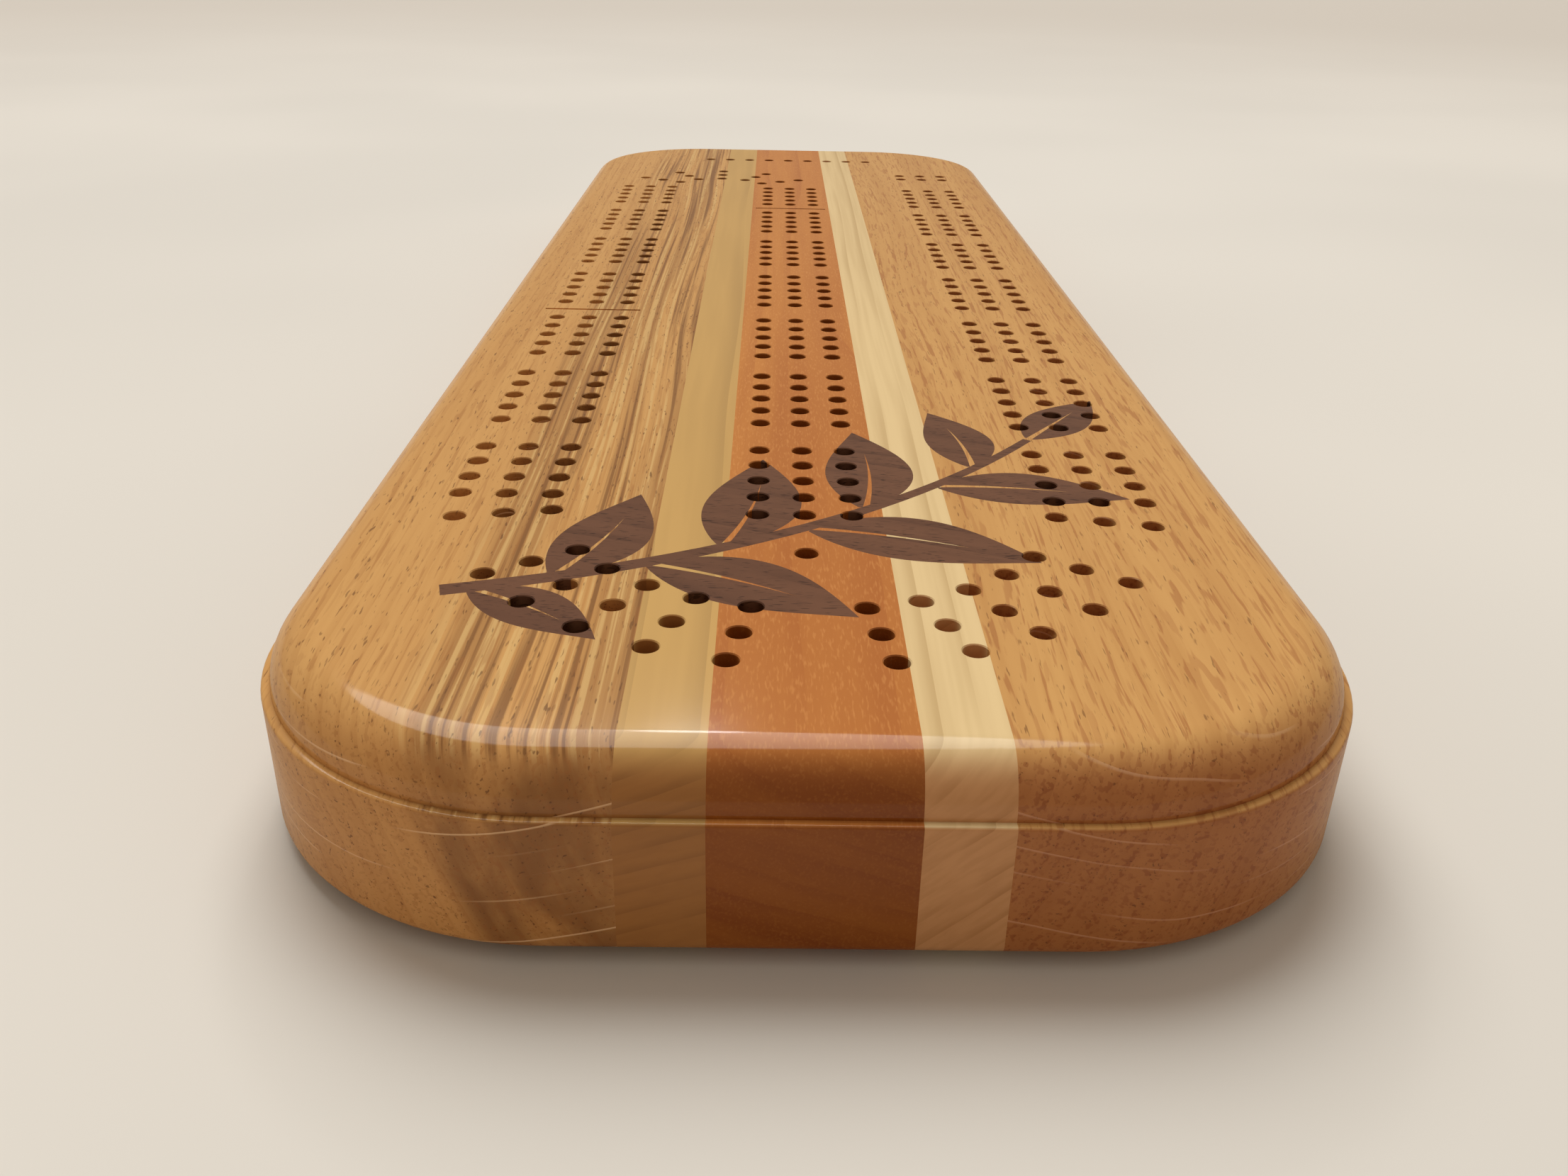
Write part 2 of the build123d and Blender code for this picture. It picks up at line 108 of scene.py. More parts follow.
class TrackSizes(bpy.types.PropertyGroup):
    """The drilled peg track."""
    pitch: length("Pitch", 6.35, "Hole to hole along a lane")
    group_size: count("Group size", 5, "Holes in a group")
    group_count: count("Groups", 7, "Groups down each straight")
    group_gap: length("Group gap", 12.7, "Last hole of one group to the first of the next")
    lane_gap: length("Lane gap", 6.72, "Lane to lane across a run")
    side_run_x: length("Side run", 43.33, "Middle of the board to the middle lane of a side run")
    hole: length("Hole", 3.2, "Drilled diameter")
    depth: length("Depth", 8.0, "Depth of every hole")
    rim: length("Rim", 0.14, "Softened edge of a hole, from sanding before the lacquer")
    hole_sides: count("Hole sides", 24, "Facets round a hole")
    near_lead: length("Near curve", 7.7, "First row to the centre of the near curve")
    near_step: angle("Near step", 11.25, "Hole to hole round the near curve")
    far_lead: length("Far curve", 1.3, "Last row to the centre of the far curve")
    far_step: angle("Far step", 30.0, "Hole to hole round the far curve")
    finish_gap: length("Finishing hole", 12.7, "First row to the finishing hole")
    start_gap: length("Starting holes", 20.6, "Last row of the right run to the starting holes")
    start_count: count("Starting count", 2, "Starting holes in each lane")
    game_gap: length("Games gap", 54.0, "Last row to the cross row that counts games")
    game_count: count("Games holes", 9, "Holes in the games row")
    near_margin: length("Near margin", 63.9, "Near end to the first row")
    mark_width: length("Skunk line", 0.9, "Width of the sawn lines across two runs")
    mark_depth: length("Line depth", 0.4, "Depth of those lines")
    mark_overhang: length("Line overhang", 1.8, "How far a line runs past the outer lanes")


class BoardSizes(bpy.types.PropertyGroup):
    """The moulded block, its feet and its screws."""
    corner: length("Corner", 38.1, "Corners of the outline")
    top_round: length("Top round", 6.35, "Quarter round along the top edge")
    ledge: length("Ledge", 1.1, "Flat shoulder under the quarter round")
    lip: length("Lip", 0.4, "Softened outer edge of the shoulder")
    bottom_ease: length("Lower edge", 1.2, "Rounded lower edge")
    corner_sides: count("Corner facets", 28, "Facets round each corner of the outline")
    round_sides: count("Round facets", 12, "Facets across the quarter round")
    panel_corner: length("Panel corner", 4.0, "Rounded inner corners of the floor panel")
    ease: length("Eased edge", 0.3, "Sanded edges of the drawer's front, and twice those of its tray")
    foot_round: length("Felt edge", 0.5, "Rounded edge of a felt foot")


class InlaySizes(bpy.types.PropertyGroup):
    """The walnut twig and its leaves, let into the face."""
    depth: length("Depth", 2.0, "Thickness of the walnut")
    twig_bow: length("Twig bow", 9.0, "How far the twig sags between its ends")
    twig_width: length("Twig width", 3.0, "Width at its foot")
    twig_steps: count("Twig steps", 24, "Stretches along the twig")
    leaf_steps: count("Leaf steps", 22, "Stretches along a leaf's edge")
    leaf_angle: angle("Leaf angle", 52.0, "Twig to leaf")
    vein_width: length("Vein", 1.0, "Open line up the middle of a leaf, at its foot")


class DrawerSizes(bpy.types.PropertyGroup):
    """The drawer, its fittings and the pegs in it."""
    gap: length("Gap", 0.4, "Clearance all round the drawer")
    knob_widest: length("Knob", 9.0, "Widest diameter of the knob")
    stud: length("Stud", 3.0, "Diameter of the knob's stud")
    magnet: length("Magnet", 4.0, "Diameter of a disc magnet")
    screw_shank: length("Screw shank", 2.6, "Diameter of a panel screw")
    screw_head: length("Screw head", 5.4, "Diameter of its head")
    screw_slot: length("Screw slot", 0.8, "Width and depth of its slot")
    screw_from_end: length("Screw place", 14.0, "Panel's end to the middle of a screw")
    peg_tip: length("Peg tip", 2.4, "Diameter of a peg's tip")
    peg_head: length("Peg head", 4.4, "Widest diameter of a peg")
    turned_sides: count("Turned facets", 40, "Facets round turned pieces")


class Finishes(bpy.types.PropertyGroup):
    """Colours of the woods and fittings."""
    oak: colour("Oak", "#CC9A5C", "Oak between its growth lines")
    oak_line: colour("Oak line", "#B07A42", "Oak's open early growth")
    maple_left: colour("Left maple", "#C79E5F", "The left maple strip under lacquer")
    maple_right: colour("Right maple", "#DFC28F", "The right maple strip under lacquer")
    maple_line: colour("Maple line", "#A6824E", "Maple's growth lines")
    cherry: colour("Cherry", "#C27E3E", "Cherry under lacquer")
    cherry_line: colour("Cherry line", "#A25A2B", "Cherry's growth lines")
    walnut: colour("Walnut", "#6E4A36", "Walnut under lacquer")
    walnut_line: colour("Walnut line", "#442B20", "Walnut's growth lines")
    brass: colour("Brass", "#C79A4B", "Turned brass")
    paper: colour("Paper", "#DCD6CC", "The pale sheet under the board")


GROUPS = {"crib_track": TrackSizes, "crib_board": BoardSizes, "crib_inlay": InlaySizes,
          "crib_drawer": DrawerSizes, "crib_finish": Finishes}

# Twig's foot from the first row on the centre line, its tip by rows, and each leaf: place along the
# twig, side, length.
TWIG_FOOT = Vector((-46.0, -25.0)) * MM
TWIG_TIP_X, TWIG_TIP_ROWS, TWIG_TIP_PAST = 37.0 * MM, 5, 0.25 * MM
TWIG_TAPER = 0.5
LEAVES = (
    (0.13, 1, 29.0), (0.36, 1, 33.0), (0.60, 1, 32.0), (0.84, 1, 26.0),
    (0.03, -1, 22.0), (0.25, -1, 31.0), (0.49, -1, 33.0), (0.74, -1, 29.0), (1.0, 0, 25.0),
)
LEAF_WIDTH, LEAF_BELLY, LEAF_BOW = 0.42, 0.85, 0.05
LEAF_START = 0.03       # a leaf's outline begins here, hidden by the twig
VEIN_SHARE = 0.7

# Patterns in wood, each in millimetres across the growth rings, along the fibres and round the rings:
# how the rings wander, a slow change of tone, single fibres, breaks in the late growth, the streaks and
# slow tone of heartwood with the dark patches on its ends, and a fine shimmer.
DRIFT, TONE, FIBRE, RING_BREAK = (16, 150, 25), (6, 240, 30), (0.7, 45, 3), (4, 90, 9)
STREAK, HEART_TONE, HEART_END, SHIMMER = (0.8, 110, 14), (5, 260, 30), (9, 70, 18), (0.3, 1.8, 0.3)
RAY_CURVE = 0.004       # how the pale rays bend on the end grain, per millimetre
WAVE_MM = pi / 10       # a wave texture's scale at which its bands are a unit apart
MIX_FACTOR, MIX_A, MIX_B, MIX_COLOUR = 0, 6, 7, 2      # sockets of a colour mix

# Turned profiles as (radius or diameter, distance) in millimetres from the base of the knob and from
# the tip of the peg.
KNOB_ROSE = ((3.1, 0), (3.2, 0.15), (3.2, 0.75), (3.05, 0.95), (2.4, 1.1))      # radii
KNOB_NECK = ((4.2, 1.6), (3.8, 3.0))
KNOB_WIDEST_AT, KNOB_CROWN, KNOB_FULLNESS = 6.0, 3.0, 0.8
PEG_NECK, PEG_RIM_AT, PEG_LONG = (3.0, 17.0), 18.4, 30.0
PEG_GRIP = ((3.5, 20.0), (3.1, 25.5), (3.4, 28.3), (2.0, 29.8))
EASE_STEPS = 8          # stretches between two stations of the knob, and over its crown
PEG_STEPS, PEG_SIDES, PEG_EDGE = 5, 24, 0.3 * MM
SCREW_EDGE, SCREW_POINT, MAGNET_RIM = 0.1 * MM, 0.3 * MM, 0.15 * MM
STUD_ROOM = 20 * MM     # length of the cutter for the stud's hole, which runs out of the front's face
EDGE_STEPS = 4          # stretches across a foot's rounded edge

# The camera, fitted to the peg holes: millimetres, degrees about Z, Y and X, and focal length.
CAMERA_PLACE, CAMERA_TURNS, CAMERA_LENS = (-5.2, -313.95, 100.4), (-0.2741, -1.0757, 63.206), 30.43
LAMP_COLOUR = (0.97, 0.99, 1.0)
ROOM_COLOUR, ROOM_LOW, ROOM_HIGH, BACKDROP = "#FAEEDF", 0.42, 0.48, 0.62
SHEET_RADIUS = 4.0


# ---------------------------------------------------------------- materials
def add(tree, kind, sockets=None, **settings):
    """Adds a node: settings are its properties, sockets its inputs, each a value or another's output."""
    node = tree.nodes.new("ShaderNode" + kind)
    for name, value in settings.items():
        setattr(node, name, value)
    for name, value in (sockets or {}).items():
        if isinstance(value, bpy.types.NodeSocket):
            tree.links.new(value, node.inputs[name])
        else:
            node.inputs[name].default_value = value
    return node


def new_material(name):
    """A node material: itself, its tree, its surface shader and the piece's own place in millimetres."""
    material = bpy.data.materials.new(name)
    material.use_nodes = True
    tree = material.node_tree
    place = add(tree, "TexCoord").outputs["Object"]
    place = add(tree, "Mapping", {"Vector": place, "Scale": [1 / MM] * 3}).outputs[0]
    return material, tree, tree.nodes["Principled BSDF"], place


def layer(tree, place, below, above, sizes, levels, share=1.0, detail=1.0, masks=()):
    """Lays one colour over another where a noise that is stretched to sizes rises between two levels.

    Returns the new colour, and how much of the upper one lies where.
    """
    spread = add(tree, "Mapping", {"Vector": place, "Scale": [1 / size for size in sizes], "Location": sizes})
    noise = add(tree, "TexNoise", {"Vector": spread.outputs[0], "Scale": 1.0, "Detail": detail})
    cover = add(tree, "MapRange", {"Value": noise.outputs[0], "From Min": levels[0], "From Max": levels[1],
                                   "To Max": share}, interpolation_type="SMOOTHSTEP").outputs[0]
    for mask in masks:
        cover = add(tree, "Math", {0: cover, 1: mask}, operation="MULTIPLY").outputs[0]
    mix = add(tree, "Mix", {MIX_FACTOR: cover, MIX_A: below, MIX_B: above}, data_type="RGBA")
    return mix.outputs[MIX_COLOUR], cover


def coat_surface(tree, shader, tint, relief=None, deep=0.0, strength=1.0, sunk=False, **plain):
    """Joins a colour and a relief in millimetres to a surface, and sets its plain numbers."""
    tree.links.new(tint, shader.inputs["Base Color"])
    if relief:
        bump = add(tree, "Bump", {"Height": relief, "Strength": strength, "Distance": deep * MM}, invert=sunk)
        tree.links.new(bump.outputs[0], shader.inputs["Normal"])
    for socket, value in plain.items():
        shader.inputs[socket.replace("_", " ")].default_value = value


def wandering(tree, log, waver):
    """A log's coordinates, with rings that drift sideways as they run along the board."""
    slow = add(tree, "Mapping", {"Vector": log, "Scale": [1 / size for size in DRIFT]}).outputs[0]
    drift = add(tree, "TexNoise", {"Vector": slow, "Scale": 1.0, "Detail": 1.0}).outputs[0]
    drift = add(tree, "MapRange", {"Value": drift, "From Min": 0.25, "From Max": 0.75, "To Min": -waver,
                                   "To Max": waver}).outputs[0]
    drift = add(tree, "CombineXYZ", {"X": drift}).outputs[0]
    return add(tree, "VectorMath", {0: log, 1: drift}, operation="ADD").outputs[0]


def end_grain(tree, along):
    """How far a surface faces along the fibres: 0 on side grain and 1 on end grain."""
    facing = add(tree, "SeparateXYZ", {0: add(tree, "TexCoord").outputs["Normal"]}).outputs[along]
    facing = add(tree, "Math", {0: facing}, operation="ABSOLUTE").outputs[0]
    return add(tree, "MapRange", {"Value": facing, "From Min": 0.15, "From Max": 0.9},
               interpolation_type="SMOOTHSTEP").outputs[0]


def heartwood(tree, bent, ends, tint, pale, dark, start, stop):
    """Lays pale and dark streaks between two places across the rings, and dark patches on their ends."""
    across = add(tree, "SeparateXYZ", {0: bent}).outputs["X"]
    zone = [add(tree, "MapRange", {"Value": across, "From Min": low, "From Max": high},
                interpolation_type="SMOOTHSTEP").outputs[0]
            for low, high in ((start, start + 4), (stop + 5, stop))]
    sides = add(tree, "MapRange", {"Value": ends, "From Min": 1.0, "From Max": 0.3},
                interpolation_type="SMOOTHSTEP").outputs[0]
    tint, _ = layer(tree, bent, tint, dark, HEART_TONE, (0.38, 0.62), 0.35, 1.0, [*zone, sides])
    tint, _ = layer(tree, bent, tint, pale, STREAK, (0.47, 0.38), 0.6, 3.0, [*zone, sides])
    tint, _ = layer(tree, bent, tint, dark, STREAK, (0.52, 0.66), 0.75, 3.0, [*zone, sides])
    tint, _ = layer(tree, bent, tint, dark, HEART_END, (0.30, 0.58), 0.75, 5.0, [*zone, ends])
    return tint


def ray_arcs(tree, log, bent, ends, tint, pale, spacing):
    """Lays pale rays, which bend a little, across the end grain."""
    square = add(tree, "VectorMath", {0: bent, 1: bent}, operation="MULTIPLY").outputs[0]
    rise = add(tree, "SeparateXYZ", {0: square}).outputs["X"]
    rise = add(tree, "Math", {0: rise, 1: RAY_CURVE}, operation="MULTIPLY").outputs[0]
    rise = add(tree, "CombineXYZ", {"Z": rise}).outputs[0]
    fan = add(tree, "VectorMath", {0: log, 1: rise}, operation="SUBTRACT").outputs[0]
    arcs = add(tree, "TexWave", {"Vector": fan, "Scale": WAVE_MM / spacing}, wave_profile="SAW",
               bands_direction="Z").outputs["Fac"]
    arcs = add(tree, "MapRange", {"Value": arcs, "From Min": 0.9, "From Max": 0.97},
               interpolation_type="SMOOTHSTEP").outputs[0]
    tint, _ = layer(tree, fan, tint, pale, (30, 9, 0.8 * spacing), (0.44, 0.58), 0.65, 0.0, [arcs, ends])
    return tint


def lumber(name, face, line, end, *, lean, ring, skew=0.0, waver=1.5, line_share=0.5, tone=0.3,
           dashes=(), ray=None, streak=None, fleck=None, coat=0.38, along="Y"):
    """Sawn and lacquered wood, as one solid pattern in millimetres.

    lean is the angle of the growth rings' normal above +X, ring their spacing and waver how far
    they wander. dashes are pores, each (colour, width, length, share, level). ray is (colour,
    spacing) of pale arcs on the end grain, streak is (pale, dark, from, to) across the rings and
    fleck the colour of a fine shimmer. The ends of the fibres soak up lacquer, which darkens them
    by the colour end.
    """
    material, tree, shader, place = new_material(name)
    turn = (0.0, radians(lean), radians(skew)) if along == "Y" else (radians(lean), 0.0, radians(90 + skew))
    log = add(tree, "Mapping", {"Vector": place, "Rotation": turn}).outputs[0]
    bent, ends = wandering(tree, log, waver), end_grain(tree, along)
    tint, _ = layer(tree, bent, face, line, TONE, (0.35, 0.7), tone)
    tint, _ = layer(tree, bent, tint, line, FIBRE, (0.35, 0.7), 0.15)
    wave = add(tree, "TexWave", {"Vector": bent, "Scale": WAVE_MM / ring}, wave_profile="SAW").outputs["Fac"]
    late = add(tree, "MapRange", {"Value": wave, "From Min": 0.55, "To Max": line_share},
               interpolation_type="SMOOTHSTEP").outputs[0]
    tint, relief = layer(tree, bent, tint, line, RING_BREAK, (0.3, 0.6), masks=[late])
    if streak:
        tint = heartwood(tree, bent, ends, tint, *streak)
    if fleck:
        tint, _ = layer(tree, log, tint, fleck, SHIMMER, (0.5, 0.75), 0.3)
    early = add(tree, "MapRange", {"Value": wave, "From Min": 0.1, "From Max": 0.8, "To Min": 0.4}).outputs[0]
    for dash, width, long, share, level in dashes:
        tint, relief = layer(tree, bent, tint, dash, (width, long, width), (level, level + 0.08), share,
                             masks=[early])
    if ray:
        tint = ray_arcs(tree, log, bent, ends, tint, *ray)
    soaked = add(tree, "Mix", {MIX_FACTOR: ends, MIX_A: tint, MIX_B: end}, data_type="RGBA",
                 blend_type="MULTIPLY")
    coat_surface(tree, shader, soaked.outputs[MIX_COLOUR], relief, 0.05, 0.2, sunk=True, Roughness=0.5,
                 Specular_IOR_Level=0.0, Coat_Weight=coat, Coat_Roughness=0.1)
    return material


def oak_left(finish):
    """White oak, satin lacquer: plain golden sapwood, then heartwood with dark and pale streaks."""
    return lumber(
        "Oak, streaked, satin lacquer", finish.oak, finish.oak_line, linear("#FFF2EA"),
        lean=22, ring=2.4, waver=1.2, line_share=0.35, ray=(linear("#F0CDA0"), 2.9),
        dashes=((linear("#9A6233"), 0.55, 10, 0.35, 0.55), (linear("#5E3A20"), 0.36, 2.4, 0.65, 0.64)),
        streak=(linear("#D8B274"), linear("#744A28"), -33, -9),
    )


def oak_right(finish):
    """Red oak, satin lacquer: even gold with short orange and dark pores."""
    return lumber(
        "Oak, even, satin lacquer", finish.oak, finish.oak_line, linear("#D7B6AD"),
        lean=-22, ring=2.9, waver=2.0, line_share=0.3, ray=(linear("#EBC79B"), 3.2),
        dashes=((linear("#A3683A"), 0.6, 9, 0.6, 0.54), (linear("#6B4526"), 0.3, 2.8, 0.6, 0.65)),
    )


def maple_left(finish):
    """Hard maple, satin lacquer: warm and close, with thin grey-brown growth lines near level."""
    return lumber(
        "Maple, low rings, satin lacquer", finish.maple_left, finish.maple_line, linear("#D2B2A2"),
        lean=-74, ring=2.5, waver=0.5, tone=0.12,
    )


def maple_right(finish):
    """Hard maple, satin lacquer: pale and close, with thin grey-brown growth lines that rise."""
    return lumber(
        "Maple, steep rings, satin lacquer", finish.maple_right, finish.maple_line, linear("#E2BCAA"),
        lean=-50, ring=2.6, waver=0.6, line_share=0.4, tone=0.12,
    )


def cherry(finish):
    """Black cherry, satin lacquer: red brown, with a fine pale shimmer."""
    return lumber(
        "Cherry, satin lacquer", finish.cherry, finish.cherry_line, linear("#C0A888"),
        lean=68, ring=3.4, waver=1.5, line_share=0.35, fleck=linear("#DC9A58"), tone=0.5,
    )


def walnut(finish):
    """Black walnut veneer, satin lacquer, its grain across the board: grey brown, fine dark pores."""
    return lumber(
        "Walnut veneer, satin lacquer", finish.walnut, finish.walnut_line, linear("#B0A090"),
        lean=70, ring=2.2, skew=8, line_share=0.4, along="X",
        dashes=((linear("#2A1913"), 0.25, 3.5, 0.7, 0.6),),
    )


def plain_maple(finish, name="Maple, sanded and oiled"):
    """Maple inside the drawer: sanded and oiled, so it has no film and little shine."""
    return lumber(
        name, finish.maple_right, finish.maple_line, linear("#D0B48C"),
        lean=-60, ring=3.2, waver=0.8, line_share=0.3, tone=0.15, coat=0.0,
    )


def peg_wood(name, face, line):
    """Wood turned and friction polished, which shows a close shine."""
    return lumber(name, face, line, linear("#C8A88C"), lean=35, ring=1.3, waver=0.3, line_share=0.4,
                  tone=0.2, coat=0.5)


def drilled_wood(name, hex_colour):
    """The wall of a drilled hole: fibres torn and burnished by the bit, with lacquer soaked in. The colour it
    is given for the holes is darker than the face, partly from that and partly as painted shade inside the
    hole.
    """
    material, tree, shader, place = new_material(name)
    base = linear(hex_colour)
    dark = [0.45 * c for c in base[:3]] + [1.0]
    tint, _ = layer(tree, place, base, dark, (1.2, 1.2, 0.25), (0.3, 0.7), 0.7, 2.0)
    coat_surface(tree, shader, tint, Roughness=0.7)
    return material


def turned_brass(finish):
    """Brass turned on a lathe and polished: warm, with fine rings round its axis."""
    material, tree, shader, place = new_material("Brass, turned and polished")
    tint, _ = layer(tree, place, finish.brass, linear("#9C7434"), (4, 4, 4), (0.5, 0.75), 0.5, 2.0)
    _, rings = layer(tree, place, tint, tint, (30, 0.18, 30), (0.0, 1.0))
    coat_surface(tree, shader, tint, rings, 0.02, 0.15, Metallic=1.0, Roughness=0.26)
    return material


def plated_magnet():
    """Nickel plating on a sintered magnet: grey, bright and faintly mottled."""
    material, tree, shader, place = new_material("Nickel plated magnet")
    tint, _ = layer(tree, place, linear("#C9C6C0"), linear("#A9A6A0"), (0.8, 0.8, 0.8), (0.35, 0.7), 1.0, 2.0)
    coat_surface(tree, shader, tint, Metallic=1.0, Roughness=0.24)
    return material


def wool_felt():
    """Pressed black wool felt: matt, with a faint nap that catches light at its edge."""
    material, tree, shader, place = new_material("Felt, black wool")
    tint, nap = layer(tree, place, linear("#0D0D0E"), linear("#2C2A2A"), (0.35, 0.35, 0.35), (0.35, 0.75),
                      1.0, 4.0)
    coat_surface(tree, shader, tint, nap, 0.2, 0.8, Roughness=1.0, Sheen_Weight=0.3)
    return material


def sheet_paper(finish):
    """A matt photographer's paper sheet: pale and warm, with a painted light falloff that darkens it away
    from the board.
    """
    material, tree, shader, place = new_material("Backdrop paper")
    shaded = [0.93 * c for c in finish.paper[:3]] + [1.0]
    tint, _ = layer(tree, place, finish.paper, shaded, (330, 330, 330), (0.3, 0.7), 1.0, 2.0)
    # Painted light falloff: the colour is mixed towards a darker tone from 0.3 m to 1.6 m away from the
    # board.
    away = add(tree, "VectorMath", {0: place}, operation="LENGTH").outputs["Value"]
    away = add(tree, "MapRange", {"Value": away, "From Min": 300.0, "From Max": 1600.0},
               interpolation_type="SMOOTHSTEP").outputs[0]
    painted_falloff = add(tree, "Mix", {MIX_FACTOR: away, MIX_A: tint, MIX_B: linear("#C9C0B4")}, data_type="RGBA")
    coat_surface(tree, shader, painted_falloff.outputs[MIX_COLOUR], Roughness=0.9)
    return material


# ---------------------------------------------------------------- mesh helpers
def object_of(name, mesh_data):
    """An object for a bmesh, which is freed, or for a mesh."""
    mesh = mesh_data
    if isinstance(mesh_data, bmesh.types.BMesh):
        mesh = bpy.data.meshes.new(name)
        mesh_data.to_mesh(mesh)
        mesh_data.free()
    piece = bpy.data.objects.new(name, mesh)
    bpy.context.scene.collection.objects.link(piece)
    return piece


def outward(mesh_data):
    """Merges doubled points and turns every face outward."""
    bmesh.ops.remove_doubles(mesh_data, verts=mesh_data.verts, dist=MERGE)
    bmesh.ops.recalc_face_normals(mesh_data, faces=mesh_data.faces)
    return mesh_data


def boolean(piece, cutter, operation="DIFFERENCE"):
    """Cuts a piece by another closed mesh, face by face, and keeps each side's material number."""
    change = piece.modifiers.new("cut", "BOOLEAN")
    change.object, change.operation, change.solver = cutter, operation, "MANIFOLD"
    bpy.context.view_layer.update()
    result = bpy.data.meshes.new_from_object(piece.evaluated_get(bpy.context.evaluated_depsgraph_get()))
    piece.modifiers.clear()
    old, piece.data = piece.data, result
    bpy.data.meshes.remove(old)
    return piece


def cut_away(piece, cutters):
    """Takes every cutter out of a piece, one after another."""
    for cutter in cutters:
        boolean(piece, cutter)
    return piece


def discard(*objects):
    """Removes the cutters once they have been used."""
    for thing in objects:
        bpy.data.objects.remove(thing)


def finish_piece(piece, body, nodes, slot, *materials):
    """Gives a finished mesh its shading, its materials and its body, and hides the CAD nodes it stands for.
    """
    mesh = piece.data
    mesh.materials.clear()
    for material in materials:
        mesh.materials.append(material)
    mesh.polygons.foreach_set("use_smooth", [True] * len(mesh.polygons))
    mesh.set_sharp_from_angle(angle=SHARP)
    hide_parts(*nodes)
    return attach(piece, body)


def slab(low, high):
    """A closed box between two corners, as a bmesh."""
    mesh_data = bmesh.new()
    bmesh.ops.create_cube(mesh_data, size=1.0)
    size, middle = Vector(high) - Vector(low), (Vector(high) + Vector(low)) / 2
    bmesh.ops.scale(mesh_data, vec=size, verts=mesh_data.verts)
    bmesh.ops.translate(mesh_data, vec=middle, verts=mesh_data.verts)
    return mesh_data


def rounded(mesh_data, edges, offset, segments):
    """Rounds some edges."""
    bmesh.ops.bevel(mesh_data, geom=list(edges), offset=offset, offset_type="OFFSET", segments=segments,
                    profile=0.5, affect="EDGES", material=-1, clamp_overlap=False)


def crisp_edges(mesh_data, least=SHARP):
    """The outer corners of a mesh that are sharper than an angle."""
    return [e for e in mesh_data.edges if len(e.link_faces) == 2 and e.calc_face_angle_signed() > least]


def level_edges(mesh_data, z):
    """The edges that lie at one height."""
    return [e for e in mesh_data.edges if all(abs(v.co.z - z) < MERGE for v in e.verts)]


def turned(profile, sides):
    """A closed turned solid up +Z from (radius, height) points that start and end on the axis."""
    mesh_data = bmesh.new()
    points = [mesh_data.verts.new((radius, 0.0, height)) for radius, height in profile]
    for pair in zip(points, points[1:]):
        mesh_data.edges.new(pair)
    bmesh.ops.spin(mesh_data, geom=mesh_data.verts[:] + mesh_data.edges[:], cent=(0, 0, 0), axis=(0, 0, 1),
                   angle=2 * pi, steps=sides, use_merge=True)
    return outward(mesh_data)


def lay_down(mesh_data, place, turn=-pi / 2):
    """Tips a turned solid over onto +Y and moves its foot to a place."""
    tipped = Matrix.Translation(place) @ Matrix.Rotation(turn, 4, "X")
    bmesh.ops.transform(mesh_data, matrix=tipped, verts=mesh_data.verts)


def eased_profile(stations, steps):
    """Points between (diameter, height) stations that swell and narrow without a corner."""
    points = []
    for (wide, low), (next_wide, high) in zip(stations, stations[1:]):
        for step in range(steps):
            share = step / steps
            ease = (1 - cos(pi * share)) / 2
            points.append(((wide + (next_wide - wide) * ease) / 2, low + (high - low) * share))
    last_wide, last_height = stations[-1]
    return points + [(last_wide / 2, last_height)]


def in_metres(pairs):
    """Pairs of millimetres as pairs of metres."""
    return [(first * MM, second * MM) for first, second in pairs]


def prism(outline, low_z, high_z):
    """A closed upright prism over a flat outline."""
    mesh_data = bmesh.new()
    face = mesh_data.faces.new([mesh_data.verts.new((x, y, low_z)) for x, y in outline])
    grown = bmesh.ops.extrude_face_region(mesh_data, geom=[face])
    raised = [item for item in grown["geom"] if isinstance(item, bmesh.types.BMVert)]
    bmesh.ops.translate(mesh_data, vec=(0, 0, high_z - low_z), verts=raised)
    return outward(mesh_data)


def eased_copy(node, ease):
    """A CAD node's own shape, merged from its loose triangles, its corners sanded clear of any notch."""
    mesh_data = bmesh.new()
    mesh_data.from_mesh(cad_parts[node].data)
    bmesh.ops.remove_doubles(mesh_data, verts=mesh_data.verts, dist=MERGE)
    bmesh.ops.dissolve_limit(mesh_data, angle_limit=FLAT, verts=mesh_data.verts, edges=mesh_data.edges)
    clear = [v for v in mesh_data.verts if all(e.calc_face_angle_signed() > 0 for e in v.link_edges)]
    rounded(mesh_data, [e for e in crisp_edges(mesh_data) if all(v in clear for v in e.verts)], ease, 2)
    return mesh_data


# ---------------------------------------------------------------- peg track
def straight_rows(track):
    """Places along Y of every row of a straight run, from the near end."""
    first = NEAR_Y + track.near_margin
    group_length = (track.group_size - 1) * track.pitch + track.group_gap
    return [first + group * group_length + hole * track.pitch
            for group in range(track.group_count) for hole in range(track.group_size)]


